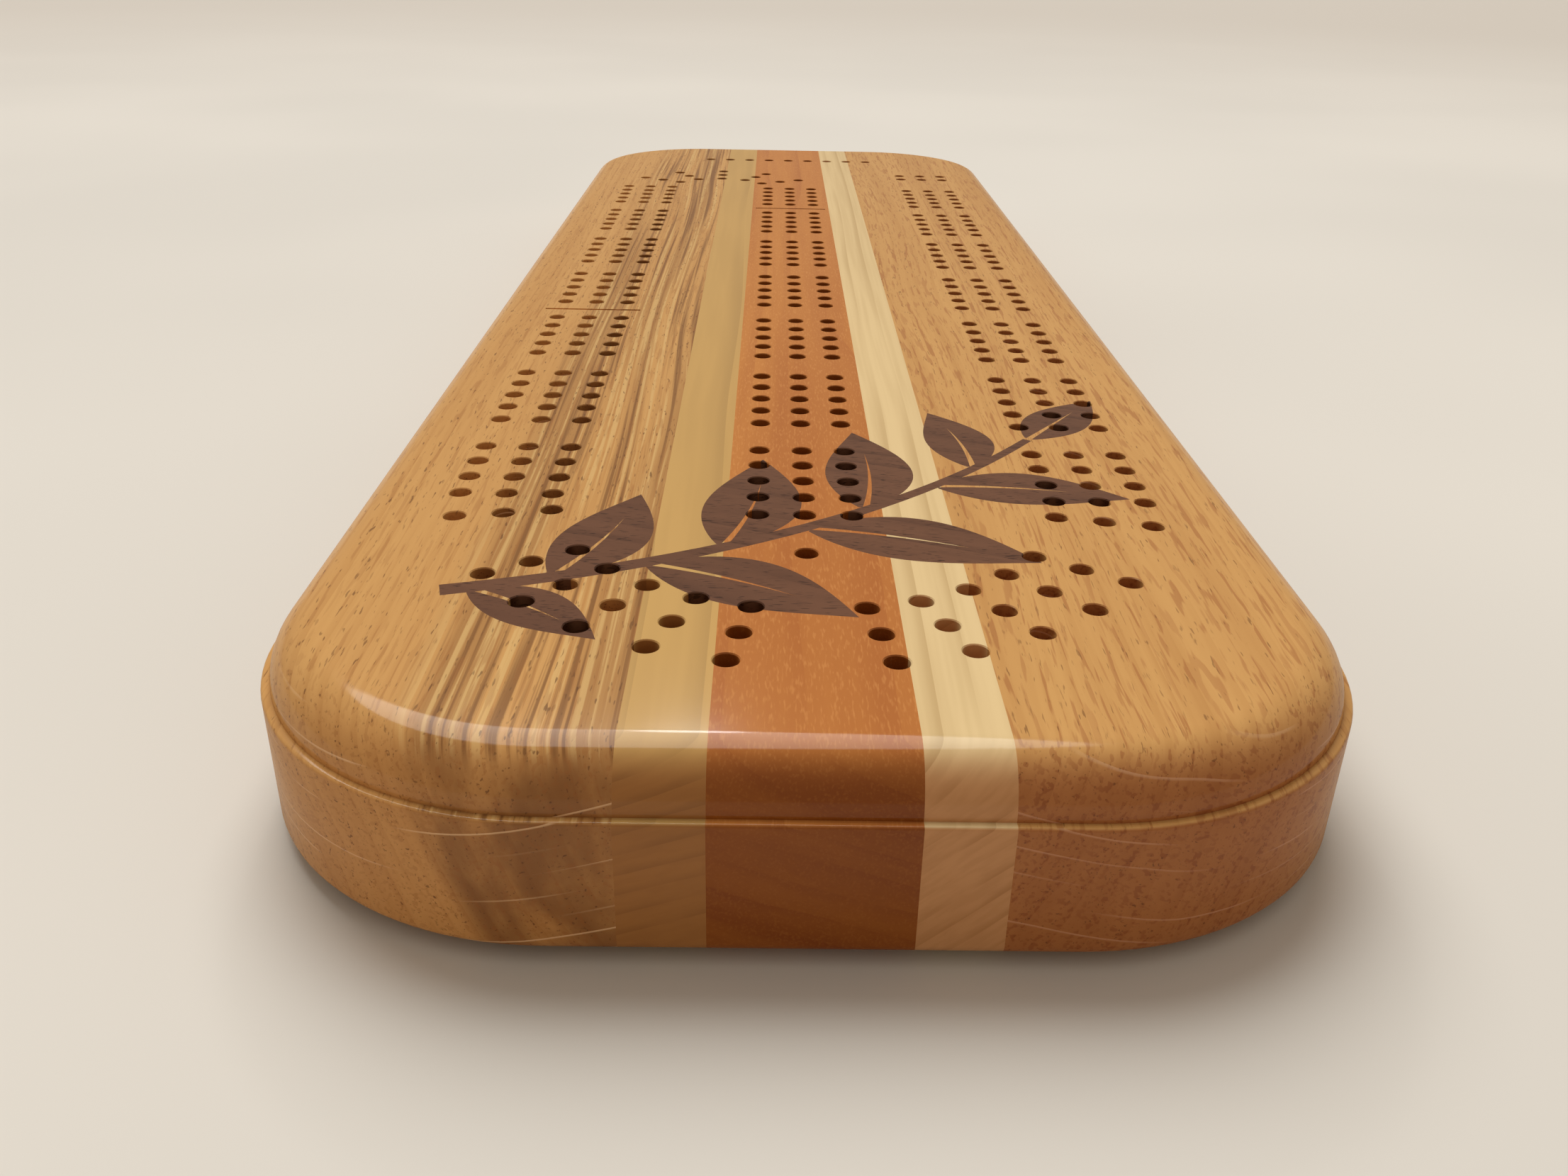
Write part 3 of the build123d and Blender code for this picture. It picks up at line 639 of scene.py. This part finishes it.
def track_points(track):
    """Every peg hole, as places on the face."""
    rows = straight_rows(track)
    lanes = (-track.lane_gap, 0.0, track.lane_gap)
    side = track.side_run_x
    points = [(lane, y) for lane in lanes for y in rows]
    points += [(run + lane, y) for run in (-side, side) for lane in lanes for y in rows[1:]]

    def on_arc(centre, radius, turn):
        return (centre[0] + radius * cos(turn), centre[1] + radius * sin(turn))

    middle = pi / 2 / track.near_step
    steps = [1 + hole for hole in range(track.group_size)] + [middle - 1]
    near_centre = (0.0, rows[0] + track.near_lead)
    far_centre = (-side / 2, rows[-1] + track.far_lead)
    for lane in lanes:
        points += [on_arc(near_centre, side + lane, -track.near_step * (middle + way * step))
                   for step in steps for way in (-1, 1)]
        points += [on_arc(far_centre, side / 2 + lane, track.far_step * (hole + 1))
                   for hole in range(track.group_size)]
    points += [(side + lane, rows[-1] + track.start_gap + hole * track.pitch)
               for lane in lanes for hole in range(track.start_count)]
    points += [((hole - (track.game_count - 1) / 2) * track.lane_gap, rows[-1] + track.game_gap)
               for hole in range(track.game_count)]
    return points + [(0.0, rows[0] - track.finish_gap)]


BARE, DRILLED, SCORCHED = 0, 1, 2       # material numbers of a piece that has holes


def drill_bit(track):
    """What one hole takes away: a softened rim, a straight wall and a flat floor."""
    radius, rim = track.hole / 2, track.rim
    profile = [(0, PAST), (radius + rim, PAST), (radius + rim, 0), (radius, -rim), (radius, -track.depth),
               (0, -track.depth)]
    bit = turned(profile, track.hole_sides)
    bmesh.ops.dissolve_limit(bit, angle_limit=FLAT, verts=bit.verts, edges=bit.edges)
    for face in bit.faces:
        face.material_index = DRILLED if face.calc_center_median().z < -rim else BARE
    mesh = bpy.data.meshes.new("drill_bit")
    bit.to_mesh(mesh)
    bit.free()
    return mesh


def drilled_holes(track, low, high):
    """One cutter for all the holes that reach into a stretch across and along the board."""
    bit = drill_bit(track)
    holes = bmesh.new()
    reach = track.hole
    for x, y in track_points(track):
        if low.x - reach < x < high.x + reach and low.y - reach < y < high.y + reach:
            start = len(holes.verts)
            holes.from_mesh(bit)
            holes.verts.ensure_lookup_table()
            bmesh.ops.translate(holes, vec=(x, y, TOP_Z), verts=holes.verts[start:])
    bpy.data.meshes.remove(bit)
    return object_of("holes", holes)


def skunk_lines(track):
    """Two shallow kerfs across the left run and the middle run, halfway between two groups."""
    half = track.lane_gap + track.hole / 2 + track.mark_overhang
    rows = straight_rows(track)
    cutters = []
    for run_x, group in ((-track.side_run_x, 3), (0.0, 6)):
        y = rows[group * track.group_size] - track.group_gap / 2
        low = (run_x - half, y - track.mark_width / 2, TOP_Z - track.mark_depth)
        high = (run_x + half, y + track.mark_width / 2, TOP_Z + PAST)
        kerf = slab(low, high)
        for face in kerf.faces:
            face.material_index = SCORCHED
        cutters.append(object_of("kerf", kerf))
    return cutters


# ---------------------------------------------------------------- leaf inlay
def twig_point(inlay, track, share):
    """A place along the twig's middle line, and the twig's direction there."""
    span = Vector((TWIG_TIP_X, TWIG_TIP_ROWS * track.pitch + TWIG_TIP_PAST)) - TWIG_FOOT
    sag = 4 * inlay.twig_bow * share * (1 - share) / span.length
    x = TWIG_FOOT.x + span.x * share + sag * span.y
    y = straight_rows(track)[0] + TWIG_FOOT.y + span.y * share - sag * span.x
    return (x, y), atan2(span.y, span.x) - atan(4 * inlay.twig_bow * (1 - 2 * share) / span.length)


def twig_outline(inlay, track):
    """The twig's edges, a band that tapers to its tip."""
    near, far = [], []
    for step in range(inlay.twig_steps + 1):
        share = step / inlay.twig_steps
        (x, y), turn = twig_point(inlay, track, share)
        half = inlay.twig_width / 2 * (1 - (1 - TWIG_TAPER) * share)
        near.append((x + half * sin(turn), y - half * cos(turn)))
        far.append((x - half * sin(turn), y + half * cos(turn)))
    return near + far[::-1]


def leaf_outline(inlay, track, share, side, long):
    """A pointed leaf that grows from the twig, open up its vein."""
    foot, turn = twig_point(inlay, track, share)
    turn += side * inlay.leaf_angle

    def place(along, across):
        return (foot[0] + long * along * cos(turn) - across * sin(turn),
                foot[1] + long * along * sin(turn) + across * cos(turn))

    def middle(along):
        return -side * 4 * LEAF_BOW * long * along * (1 - along)

    def half_width(along):
        return LEAF_WIDTH / 2 * long * sin(pi * along ** LEAF_BELLY)

    def vein(along):
        return inlay.vein_width / 2 * (1 - along / VEIN_SHARE)

    steps = inlay.leaf_steps
    edge = [LEAF_START + (1 - LEAF_START) * step / steps for step in range(steps + 1)]
    slit = [LEAF_START + (VEIN_SHARE - LEAF_START) * step / steps for step in range(steps + 1)]
    left = [place(t, middle(t) + half_width(t)) for t in edge]
    right = [place(t, middle(t) - half_width(t)) for t in edge[-2::-1]]
    vein_right = [place(t, middle(t) - vein(t)) for t in slit]
    vein_left = [place(t, middle(t) + vein(t)) for t in slit[-2::-1]]
    return left + right + vein_right + vein_left


def inlay_outlines(inlay, track):
    """Outlines of the twig and of each leaf, by the name of the piece."""
    outlines = {"twig": twig_outline(inlay, track)}
    for number, (share, side, long) in enumerate(LEAVES, start=1):
        outlines[f"leaf_{number}"] = leaf_outline(inlay, track, share, side, long * MM)
    return outlines


def inlay_cutters(inlay, track):
    """What the inlay takes out of the face, leaf by leaf and then the twig."""
    return [object_of("pocket", prism(outline, TOP_Z - inlay.depth, TOP_Z + PAST))
            for outline in inlay_outlines(inlay, track).values()]


# ---------------------------------------------------------------- block
def whole_block(board):
    """The moulded block before anything is cut into it."""
    ledge_z = TOP_Z - board.top_round
    block = slab((BLOCK_LOW.x, NEAR_Y, UNDER_Z), (BLOCK_HIGH.x, FAR_Y, ledge_z))
    upright = [e for e in block.edges if abs(e.verts[0].co.z - e.verts[1].co.z) > MM]
    rounded(block, upright, board.corner, board.corner_sides)
    roof = [max(block.faces, key=lambda face: face.calc_center_median().z)]
    bmesh.ops.inset_region(block, faces=roof, thickness=board.ledge, use_even_offset=True)
    grown = bmesh.ops.extrude_face_region(block, geom=roof)
    bmesh.ops.delete(block, geom=roof, context="FACES_ONLY")
    raised = [item for item in grown["geom"] if isinstance(item, bmesh.types.BMVert)]
    bmesh.ops.translate(block, vec=(0, 0, board.top_round), verts=raised)
    rounded(block, level_edges(block, TOP_Z), board.top_round - MERGE / 2, board.round_sides)
    bmesh.ops.remove_doubles(block, verts=block.verts, dist=MERGE)
    rounded(block, level_edges(block, UNDER_Z), board.bottom_ease, 4)
    outer_lip = [e for e in level_edges(block, ledge_z) if e.calc_face_angle_signed() > SHARP]
    rounded(block, outer_lip, board.lip, 3)
    flat_top = [f for f in block.faces if f.normal.z > 0.999 and f.calc_center_median().z > TOP_Z - MERGE]
    bmesh.ops.inset_region(block, faces=flat_top, thickness=board.ease, use_even_offset=True)
    return object_of("block", outward(block))


def drawer_room(board, drawer):
    """What is cut out of the block: the floor panel's seat, the tray's room and the front's seat."""
    gap = drawer.gap
    half, roof_z = FRONT_HIGH.x + gap, FRONT_HIGH.z + gap
    seat = slab((-half, FRONT_LOW.y - gap, UNDER_Z - PAST), (half, FAR_Y + PAST, roof_z))
    room = slab((-half, TRAY_LOW.y - gap, PANEL_HIGH.z - PAST), (half, FAR_Y + PAST, roof_z))
    panel = panel_shape(board, UNDER_Z - PAST)
    return [object_of("room", part) for part in (panel, room, seat)]


def panel_shape(board, low_z):
    """The floor panel's plan, rounded at its inner corners, up from a height."""
    panel = slab((PANEL_LOW.x, PANEL_LOW.y, low_z), (PANEL_HIGH.x, PANEL_HIGH.y, PANEL_HIGH.z))
    inner = [e for e in panel.edges if all(abs(v.co.y - PANEL_LOW.y) < MERGE for v in e.verts)
             and abs(e.verts[0].co.z - e.verts[1].co.z) > MERGE]
    rounded(panel, inner, board.panel_corner, 8)
    return panel


def strip_span(strip, low, high):
    """A cutter that keeps the width of one strip, and runs past the piece everywhere else."""
    reach_low, reach_high = Vector((0, PAST, PAST)), Vector((0, PAST, PAST))
    if strip == STRIPS[0]:
        reach_low.x = PAST
    if strip == STRIPS[-1]:
        reach_high.x = PAST
    return object_of("span", slab(low - reach_low, high + reach_high))


def screw_solid(drawer, long, slotted):
    """A countersunk brass screw, head down at the origin."""
    head, shank = drawer.screw_head / 2, drawer.screw_shank / 2
    profile = [(0, 0), (head - SCREW_EDGE, 0), (head, SCREW_EDGE), (shank, head - shank + SCREW_EDGE),
               (shank, long - shank), (SCREW_POINT, long), (0, long)]
    screw = object_of("screw", turned(profile, drawer.turned_sides))
    if slotted:
        half = drawer.screw_slot / 2
        slot = object_of("slot", slab((-head - PAST, -half, -PAST), (head + PAST, half, drawer.screw_slot)))
        boolean(screw, slot)
        discard(slot)
    return screw


def screw_places(drawer):
    """Middles of the four panel screws, on the underside."""
    box_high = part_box("panel_screws")[1]
    x = box_high.x - drawer.screw_head / 2
    ys = (PANEL_LOW.y + drawer.screw_from_end, PANEL_HIGH.y - drawer.screw_from_end)
    return [Vector((side * x, y, UNDER_Z)) for side in (-1, 1) for y in ys]


def copies(piece, places):
    """One mesh that holds a copy of a piece at each place."""
    joined = bmesh.new()
    for place in places:
        start = len(joined.verts)
        joined.from_mesh(piece.data)
        joined.verts.ensure_lookup_table()
        bmesh.ops.translate(joined, vec=place, verts=joined.verts[start:])
    return joined


def drawer_front(board, drawer):
    """The drawer's whole front: the block's own end, sawn out, with seats for the sides and the stud."""
    block = whole_block(board)
    room = object_of("front_room", slab((FRONT_LOW.x, FRONT_LOW.y, UNDER_Z - PAST),
                                        (FRONT_HIGH.x, FAR_Y + PAST, FRONT_HIGH.z)))
    front = boolean(object_of("front", block.data.copy()), room, "INTERSECT")
    eased = bmesh.new()
    eased.from_mesh(front.data)
    rounded(eased, crisp_edges(eased, SQUARE), board.ease, 2)
    eased.to_mesh(front.data)
    eased.free()
    seats = [object_of("seat", slab((min(inner, outer), FRONT_LOW.y - PAST, TRAY_LOW.z),
                                    (max(inner, outer), TRAY_HIGH.y, TRAY_HIGH.z)))
             for inner, outer in ((TRAY_LOW.x - PAST, TRAY_HIGH.x), (-TRAY_HIGH.x, -TRAY_LOW.x + PAST))]
    knob_low, knob_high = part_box("drawer_knob")
    stud = turned([(0, 0), (drawer.stud / 2, 0), (drawer.stud / 2, STUD_ROOM), (0, STUD_ROOM)],
                  drawer.turned_sides)
    lay_down(stud, (0, knob_low.y, (knob_low.z + knob_high.z) / 2))
    cutters = seats + [object_of("stud", stud)]
    cut_away(front, cutters)
    discard(block, room, *cutters)
    return front


def magnet_piece(node, body, drawer, material):
    """A disc magnet with a softened rim, where its CAD node is."""
    low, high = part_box(node)
    radius, rim, thick = drawer.magnet / 2, MAGNET_RIM, high.y - low.y
    profile = [(0, 0), (radius - rim, 0), (radius, rim), (radius, thick - rim), (radius - rim, thick),
               (0, thick)]
    disc = turned(profile, drawer.turned_sides)
    lay_down(disc, ((low.x + high.x) / 2, low.y, (low.z + high.z) / 2))
    return finish_piece(object_of(f"{node}_disc", disc), body, [node], "nickel", material)


class CRIBBAGE_OT_boards(bpy.types.Operator):
    """Shapes the five strips of the block and drills them"""
    bl_idname = "cribbage.boards"
    bl_label = "Board strips"

    def execute(self, context):
        scene = context.scene
        track, board, inlay = scene.crib_track, scene.crib_board, scene.crib_inlay
        drawer, finish = scene.crib_drawer, scene.crib_finish
        block = whole_block(board)
        screw = screw_solid(drawer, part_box("panel_screws")[1].z - UNDER_Z, False)
        shared = drawer_room(board, drawer) + inlay_cutters(inlay, track) + skunk_lines(track)
        shared.append(object_of("pilots", copies(screw, screw_places(drawer))))
        woods = (oak_left(finish), maple_left(finish), cherry(finish), maple_right(finish), oak_right(finish))
        # Hole walls get a colour darker than the faces: partly lacquer soaked into torn fibres, partly
        # painted shade inside the deep holes.
        bore_with_painted_shade, kerf = drilled_wood("Drilled wood with painted shade", "#A5672F"), drilled_wood("Scorched saw kerf", "#6B3F22")
        for strip, material in zip(STRIPS, woods):
            wood, side = strip.split("_")
            node = f"{wood}_strip_{side}"
            low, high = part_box(node)
            piece = object_of(f"{strip}_board", block.data.copy())
            span = strip_span(strip, low, high)
            boolean(piece, span, "INTERSECT")
            holes = drilled_holes(track, low, high)
            cut_away(piece, shared + [holes])
            discard(span, holes)
            finish_piece(piece, "box", [node], wood, material, bore_with_painted_shade, kerf)
        discard(block, screw, *shared)
        return {"FINISHED"}


class CRIBBAGE_OT_inlay(bpy.types.Operator):
    """Lets the walnut twig and its leaves into the face"""
    bl_idname = "cribbage.inlay"
    bl_label = "Leaf inlay"

    def execute(self, context):
        track, inlay = context.scene.crib_track, context.scene.crib_inlay
        wood = walnut(context.scene.crib_finish)
        # The walnut hole walls are far darker than the walnut face: partly soaked lacquer, partly painted
        # shade inside the holes.
        bore_with_painted_shade = drilled_wood("Drilled walnut with painted shade", "#3A2318")
        outlines = inlay_outlines(inlay, track)
        twig_room = prism(outlines["twig"], TOP_Z - inlay.depth - PAST, TOP_Z + PAST)
        twig_cutter = object_of("twig_cutter", twig_room)
        for name, outline in outlines.items():
            piece = object_of(f"{name}_veneer", prism(outline, TOP_Z - inlay.depth, TOP_Z))
            if name != "twig":
                boolean(piece, twig_cutter)
            low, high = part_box(f"inlay_{name}")
            holes = drilled_holes(track, low, high)
            if len(holes.data.vertices):
                boolean(piece, holes)
            discard(holes)
            finish_piece(piece, "box", [f"inlay_{name}"], "walnut", wood, bore_with_painted_shade)
        discard(twig_cutter)
        return {"FINISHED"}


class CRIBBAGE_OT_underside(bpy.types.Operator):
    """Fits the floor panel, its screws, the stop screw, the magnet and the felt feet"""
    bl_idname = "cribbage.underside"
    bl_label = "Underside"

    def execute(self, context):
        board, drawer, finish = context.scene.crib_board, context.scene.crib_drawer, context.scene.crib_finish
        brass = turned_brass(finish)
        stop_low, stop_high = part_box("drawer_stop_screw")
        stop_place = Vector((0, (stop_low.y + stop_high.y) / 2, UNDER_Z))
        solid_screw = screw_solid(drawer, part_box("panel_screws")[1].z - UNDER_Z, False)
        solid_stop = screw_solid(drawer, stop_high.z - UNDER_Z, False)
        pilots = object_of("pilots", copies(solid_screw, screw_places(drawer)))
        stop_hole = object_of("stop_hole", copies(solid_stop, [stop_place]))
        panel = cut_away(object_of("floor_panel", panel_shape(board, UNDER_Z)), [pilots, stop_hole])
        finish_piece(panel, "box", ["bottom_panel"], "panel_maple", plain_maple(finish, "Maple floor, oiled"))
        discard(solid_screw, solid_stop, pilots, stop_hole)

        slotted = screw_solid(drawer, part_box("panel_screws")[1].z - UNDER_Z, True)
        slotted_stop = screw_solid(drawer, stop_high.z - UNDER_Z, True)
        screws = object_of("brass_panel_screws", copies(slotted, screw_places(drawer)))
        stop = object_of("brass_stop_screw", copies(slotted_stop, [stop_place]))
        finish_piece(screws, "box", ["panel_screws"], "brass", brass)
        finish_piece(stop, "box", ["drawer_stop_screw"], "brass", brass)
        discard(slotted, slotted_stop)

        magnet_piece("body_magnet", "box", drawer, plated_magnet())
        felt = wool_felt()
        for node in (f"foot_{end}_{side}" for end in ("near", "far") for side in ("left", "right")):
            low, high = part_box(node)
            radius, edge = (high.x - low.x) / 2, board.foot_round
            turns = [step * pi / 2 / EDGE_STEPS for step in range(1, EDGE_STEPS + 1)]
            profile = [(0, 0), (radius - edge, 0)]
            profile += [(radius - edge * (1 - sin(turn)), edge * (1 - cos(turn))) for turn in turns]
            profile += [(radius, high.z), (0, high.z)]
            pad = turned(profile, 2 * drawer.turned_sides)
            bmesh.ops.translate(pad, vec=((low.x + high.x) / 2, (low.y + high.y) / 2, 0), verts=pad.verts)
            finish_piece(object_of(node.replace("foot", "felt"), pad), "box", [node], "felt", felt)
        return {"FINISHED"}


class CRIBBAGE_OT_drawer(bpy.types.Operator):
    """Makes the drawer front from the block's own strips, and the tray behind it"""
    bl_idname = "cribbage.drawer"
    bl_label = "Drawer"

    def execute(self, context):
        board, drawer, finish = context.scene.crib_board, context.scene.crib_drawer, context.scene.crib_finish
        front = drawer_front(board, drawer)
        for strip in STRIPS:
            wood, _ = strip.split("_")
            node = f"drawer_front_{strip}"
            span = strip_span(strip, *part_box(node))
            piece = boolean(object_of(f"front_{strip}", front.data.copy()), span, "INTERSECT")
            finish_piece(piece, "drawer", [node], wood, bpy.data.objects[f"{strip}_board"].data.materials[0])
            discard(span)
        discard(front)

        tray_wood = plain_maple(finish)
        for node in ("drawer_side_left", "drawer_side_right", "drawer_back", "drawer_bottom",
                     "drawer_divider_1", "drawer_divider_2"):
            piece = object_of(node.replace("drawer", "tray"), eased_copy(node, board.ease / 2))
            finish_piece(piece, "drawer", [node], "tray_maple", tray_wood)
        magnet_piece("drawer_magnet", "drawer", drawer, plated_magnet())
        return {"FINISHED"}


class CRIBBAGE_OT_knob(bpy.types.Operator):
    """Turns the brass knob and its stud"""
    bl_idname = "cribbage.knob"
    bl_label = "Knob"

    def execute(self, context):
        drawer = context.scene.crib_drawer
        low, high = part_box("drawer_knob")
        stud, wide = drawer.stud, drawer.knob_widest
        in_front = FAR_Y - low.y
        profile = [(0, -in_front), (stud / 2, -in_front), (stud / 2, 0)] + in_metres(KNOB_ROSE)
        profile += eased_profile(in_metres(KNOB_NECK) + [(wide, KNOB_WIDEST_AT * MM)], EASE_STEPS)
        for step in range(1, EASE_STEPS):
            turn = step / EASE_STEPS * pi / 2
            crown = KNOB_WIDEST_AT + KNOB_CROWN * sin(turn)
            profile.append((wide / 2 * cos(turn) ** KNOB_FULLNESS, crown * MM))
        knob = turned(profile + [(0, (KNOB_WIDEST_AT + KNOB_CROWN) * MM)], drawer.turned_sides)
        lay_down(knob, (0, FAR_Y, (low.z + high.z) / 2))
        finish_piece(object_of("brass_knob", knob), "drawer", ["drawer_knob"], "brass",
                     turned_brass(context.scene.crib_finish))
        return {"FINISHED"}


class CRIBBAGE_OT_pegs(bpy.types.Operator):
    """Turns the nine pegs and lays them in the drawer"""
    bl_idname = "cribbage.pegs"
    bl_label = "Pegs"

    def execute(self, context):
        drawer, finish = context.scene.crib_drawer, context.scene.crib_finish
        woods = {"maple": peg_wood("Maple peg, polished", finish.maple_right, finish.maple_line),
                 "cherry": peg_wood("Cherry peg, polished", finish.cherry, finish.cherry_line),
                 "walnut": peg_wood("Walnut peg, polished", finish.walnut, finish.walnut_line)}
        tip, head = drawer.peg_tip, drawer.peg_head
        rim_at = PEG_RIM_AT * MM
        stations = in_metres([PEG_NECK]) + [(head, rim_at)] + in_metres(PEG_GRIP)
        profile = [(0, 0), (tip / 2 - PEG_EDGE, 0), (tip / 2, PEG_EDGE)]
        profile += eased_profile(stations, PEG_STEPS) + [(0, PEG_LONG * MM)]
        tilt = asin((head - tip) / 2 / rim_at)
        for wood, material in woods.items():
            for number in (1, 2, 3):
                node = f"peg_{wood}_{number}"
                low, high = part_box(node)
                peg = turned(profile, PEG_SIDES)
                spot = ((low.x + high.x) / 2, low.y + tip / 2 * sin(tilt), INNER_Z + tip / 2 * cos(tilt))
                lay_down(peg, spot, tilt - pi / 2)
                finish_piece(object_of(f"{node}_turned", peg), "drawer", [node], f"peg_{wood}", material)
        return {"FINISHED"}


# ---------------------------------------------------------------- stage
def sunlight(name, elevation, azimuth, spread, strength):
    """Soft light from far off: azimuth is counted from +Y toward -X, spread is the source's own width."""
    light = bpy.data.lights.new(name, "SUN")
    light.energy, light.angle, light.color = strength, spread, LAMP_COLOUR
    fixture = bpy.data.objects.new(name, light)
    fixture.matrix_world = Matrix.Rotation(azimuth, 4, "Z") @ Matrix.Rotation(elevation - pi / 2, 4, "X")
    bpy.context.scene.collection.objects.link(fixture)
    return fixture


def pale_room():
    """A pale room, a little brighter overhead, that the camera sees as an even backdrop."""
    world = bpy.data.worlds.new("Pale room")
    world.use_nodes = True
    tree = world.node_tree
    toward = add(tree, "TexCoord").outputs["Generated"]
    height = add(tree, "SeparateXYZ", {0: toward}).outputs["Z"]
    glow = add(tree, "MapRange", {"Value": height, "From Min": 0.2, "From Max": 1.0, "To Min": ROOM_LOW,
                                  "To Max": ROOM_HIGH}).outputs[0]
    seen = add(tree, "LightPath").outputs["Is Camera Ray"]
    level = add(tree, "Mix", {"Factor": seen, "A": glow, "B": BACKDROP}).outputs[0]
    back = tree.nodes["Background"]
    back.inputs["Color"].default_value = linear(ROOM_COLOUR)
    tree.links.new(level, back.inputs["Strength"])
    return world


class CRIBBAGE_OT_stage(bpy.types.Operator):
    """Lays the pale sheet and sets the lamps and the camera"""
    bl_idname = "cribbage.stage"
    bl_label = "Stage"

    def execute(self, context):
        scene = context.scene
        sheet = bmesh.new()
        bmesh.ops.create_circle(sheet, cap_ends=True, segments=96, radius=SHEET_RADIUS)
        floor = object_of("paper_sheet", sheet)
        floor.data.materials.append(sheet_paper(scene.crib_finish))

        scene.world = pale_room()
        sunlight("bright_wall", radians(55), radians(14), radians(44), 2.5)
        sunlight("far_window", radians(36), radians(4), radians(5), 0.12)

        camera_data = bpy.data.cameras.new("Camera")
        camera_data.sensor_fit, camera_data.sensor_width, camera_data.lens = "HORIZONTAL", 36.0, CAMERA_LENS
        camera = bpy.data.objects.new("Camera", camera_data)
        camera.matrix_world = Matrix.Translation(Vector(CAMERA_PLACE) * MM)
        for turn, axis in zip(CAMERA_TURNS, "ZYX"):
            camera.matrix_world = camera.matrix_world @ Matrix.Rotation(radians(turn), 4, axis)
        scene.collection.objects.link(camera)
        scene.camera = camera
        scene.view_settings.view_transform = "Standard"
        return {"FINISHED"}


OPERATORS = (CRIBBAGE_OT_boards, CRIBBAGE_OT_inlay, CRIBBAGE_OT_underside, CRIBBAGE_OT_drawer,
             CRIBBAGE_OT_knob, CRIBBAGE_OT_pegs, CRIBBAGE_OT_stage)


class CRIBBAGE_PT_sidebar(bpy.types.Panel):
    """Lists the steps that finish the board"""
    bl_idname = "CRIBBAGE_PT_sidebar"
    bl_label = "Cribbage Box"
    bl_space_type = "VIEW_3D"
    bl_region_type = "UI"
    bl_category = "Cribbage Box"

    def draw(self, context):
        for operator in OPERATORS:
            self.layout.operator(operator.bl_idname)
        for name, group in GROUPS.items():
            box = self.layout.box()
            box.label(text=group.__doc__)
            for setting in group.__annotations__:
                box.prop(getattr(context.scene, name), setting)


CLASSES = (*GROUPS.values(), *OPERATORS, CRIBBAGE_PT_sidebar)


def register():
    """Adds the settings, the operators and the panel."""
    for item in CLASSES:
        bpy.utils.register_class(item)
    for name, group in GROUPS.items():
        setattr(bpy.types.Scene, name, PointerProperty(type=group))


def unregister():
    """Takes them away again."""
    for name in GROUPS:
        delattr(bpy.types.Scene, name)
    for item in reversed(CLASSES):
        bpy.utils.unregister_class(item)


def main():
    """Makes every piece and the stage."""
    register()
    for operator in OPERATORS:
        group, name = operator.bl_idname.split(".")
        getattr(getattr(bpy.ops, group), name)()
    bpy.context.view_layer.update()


if __name__ == "__main__":
    main()
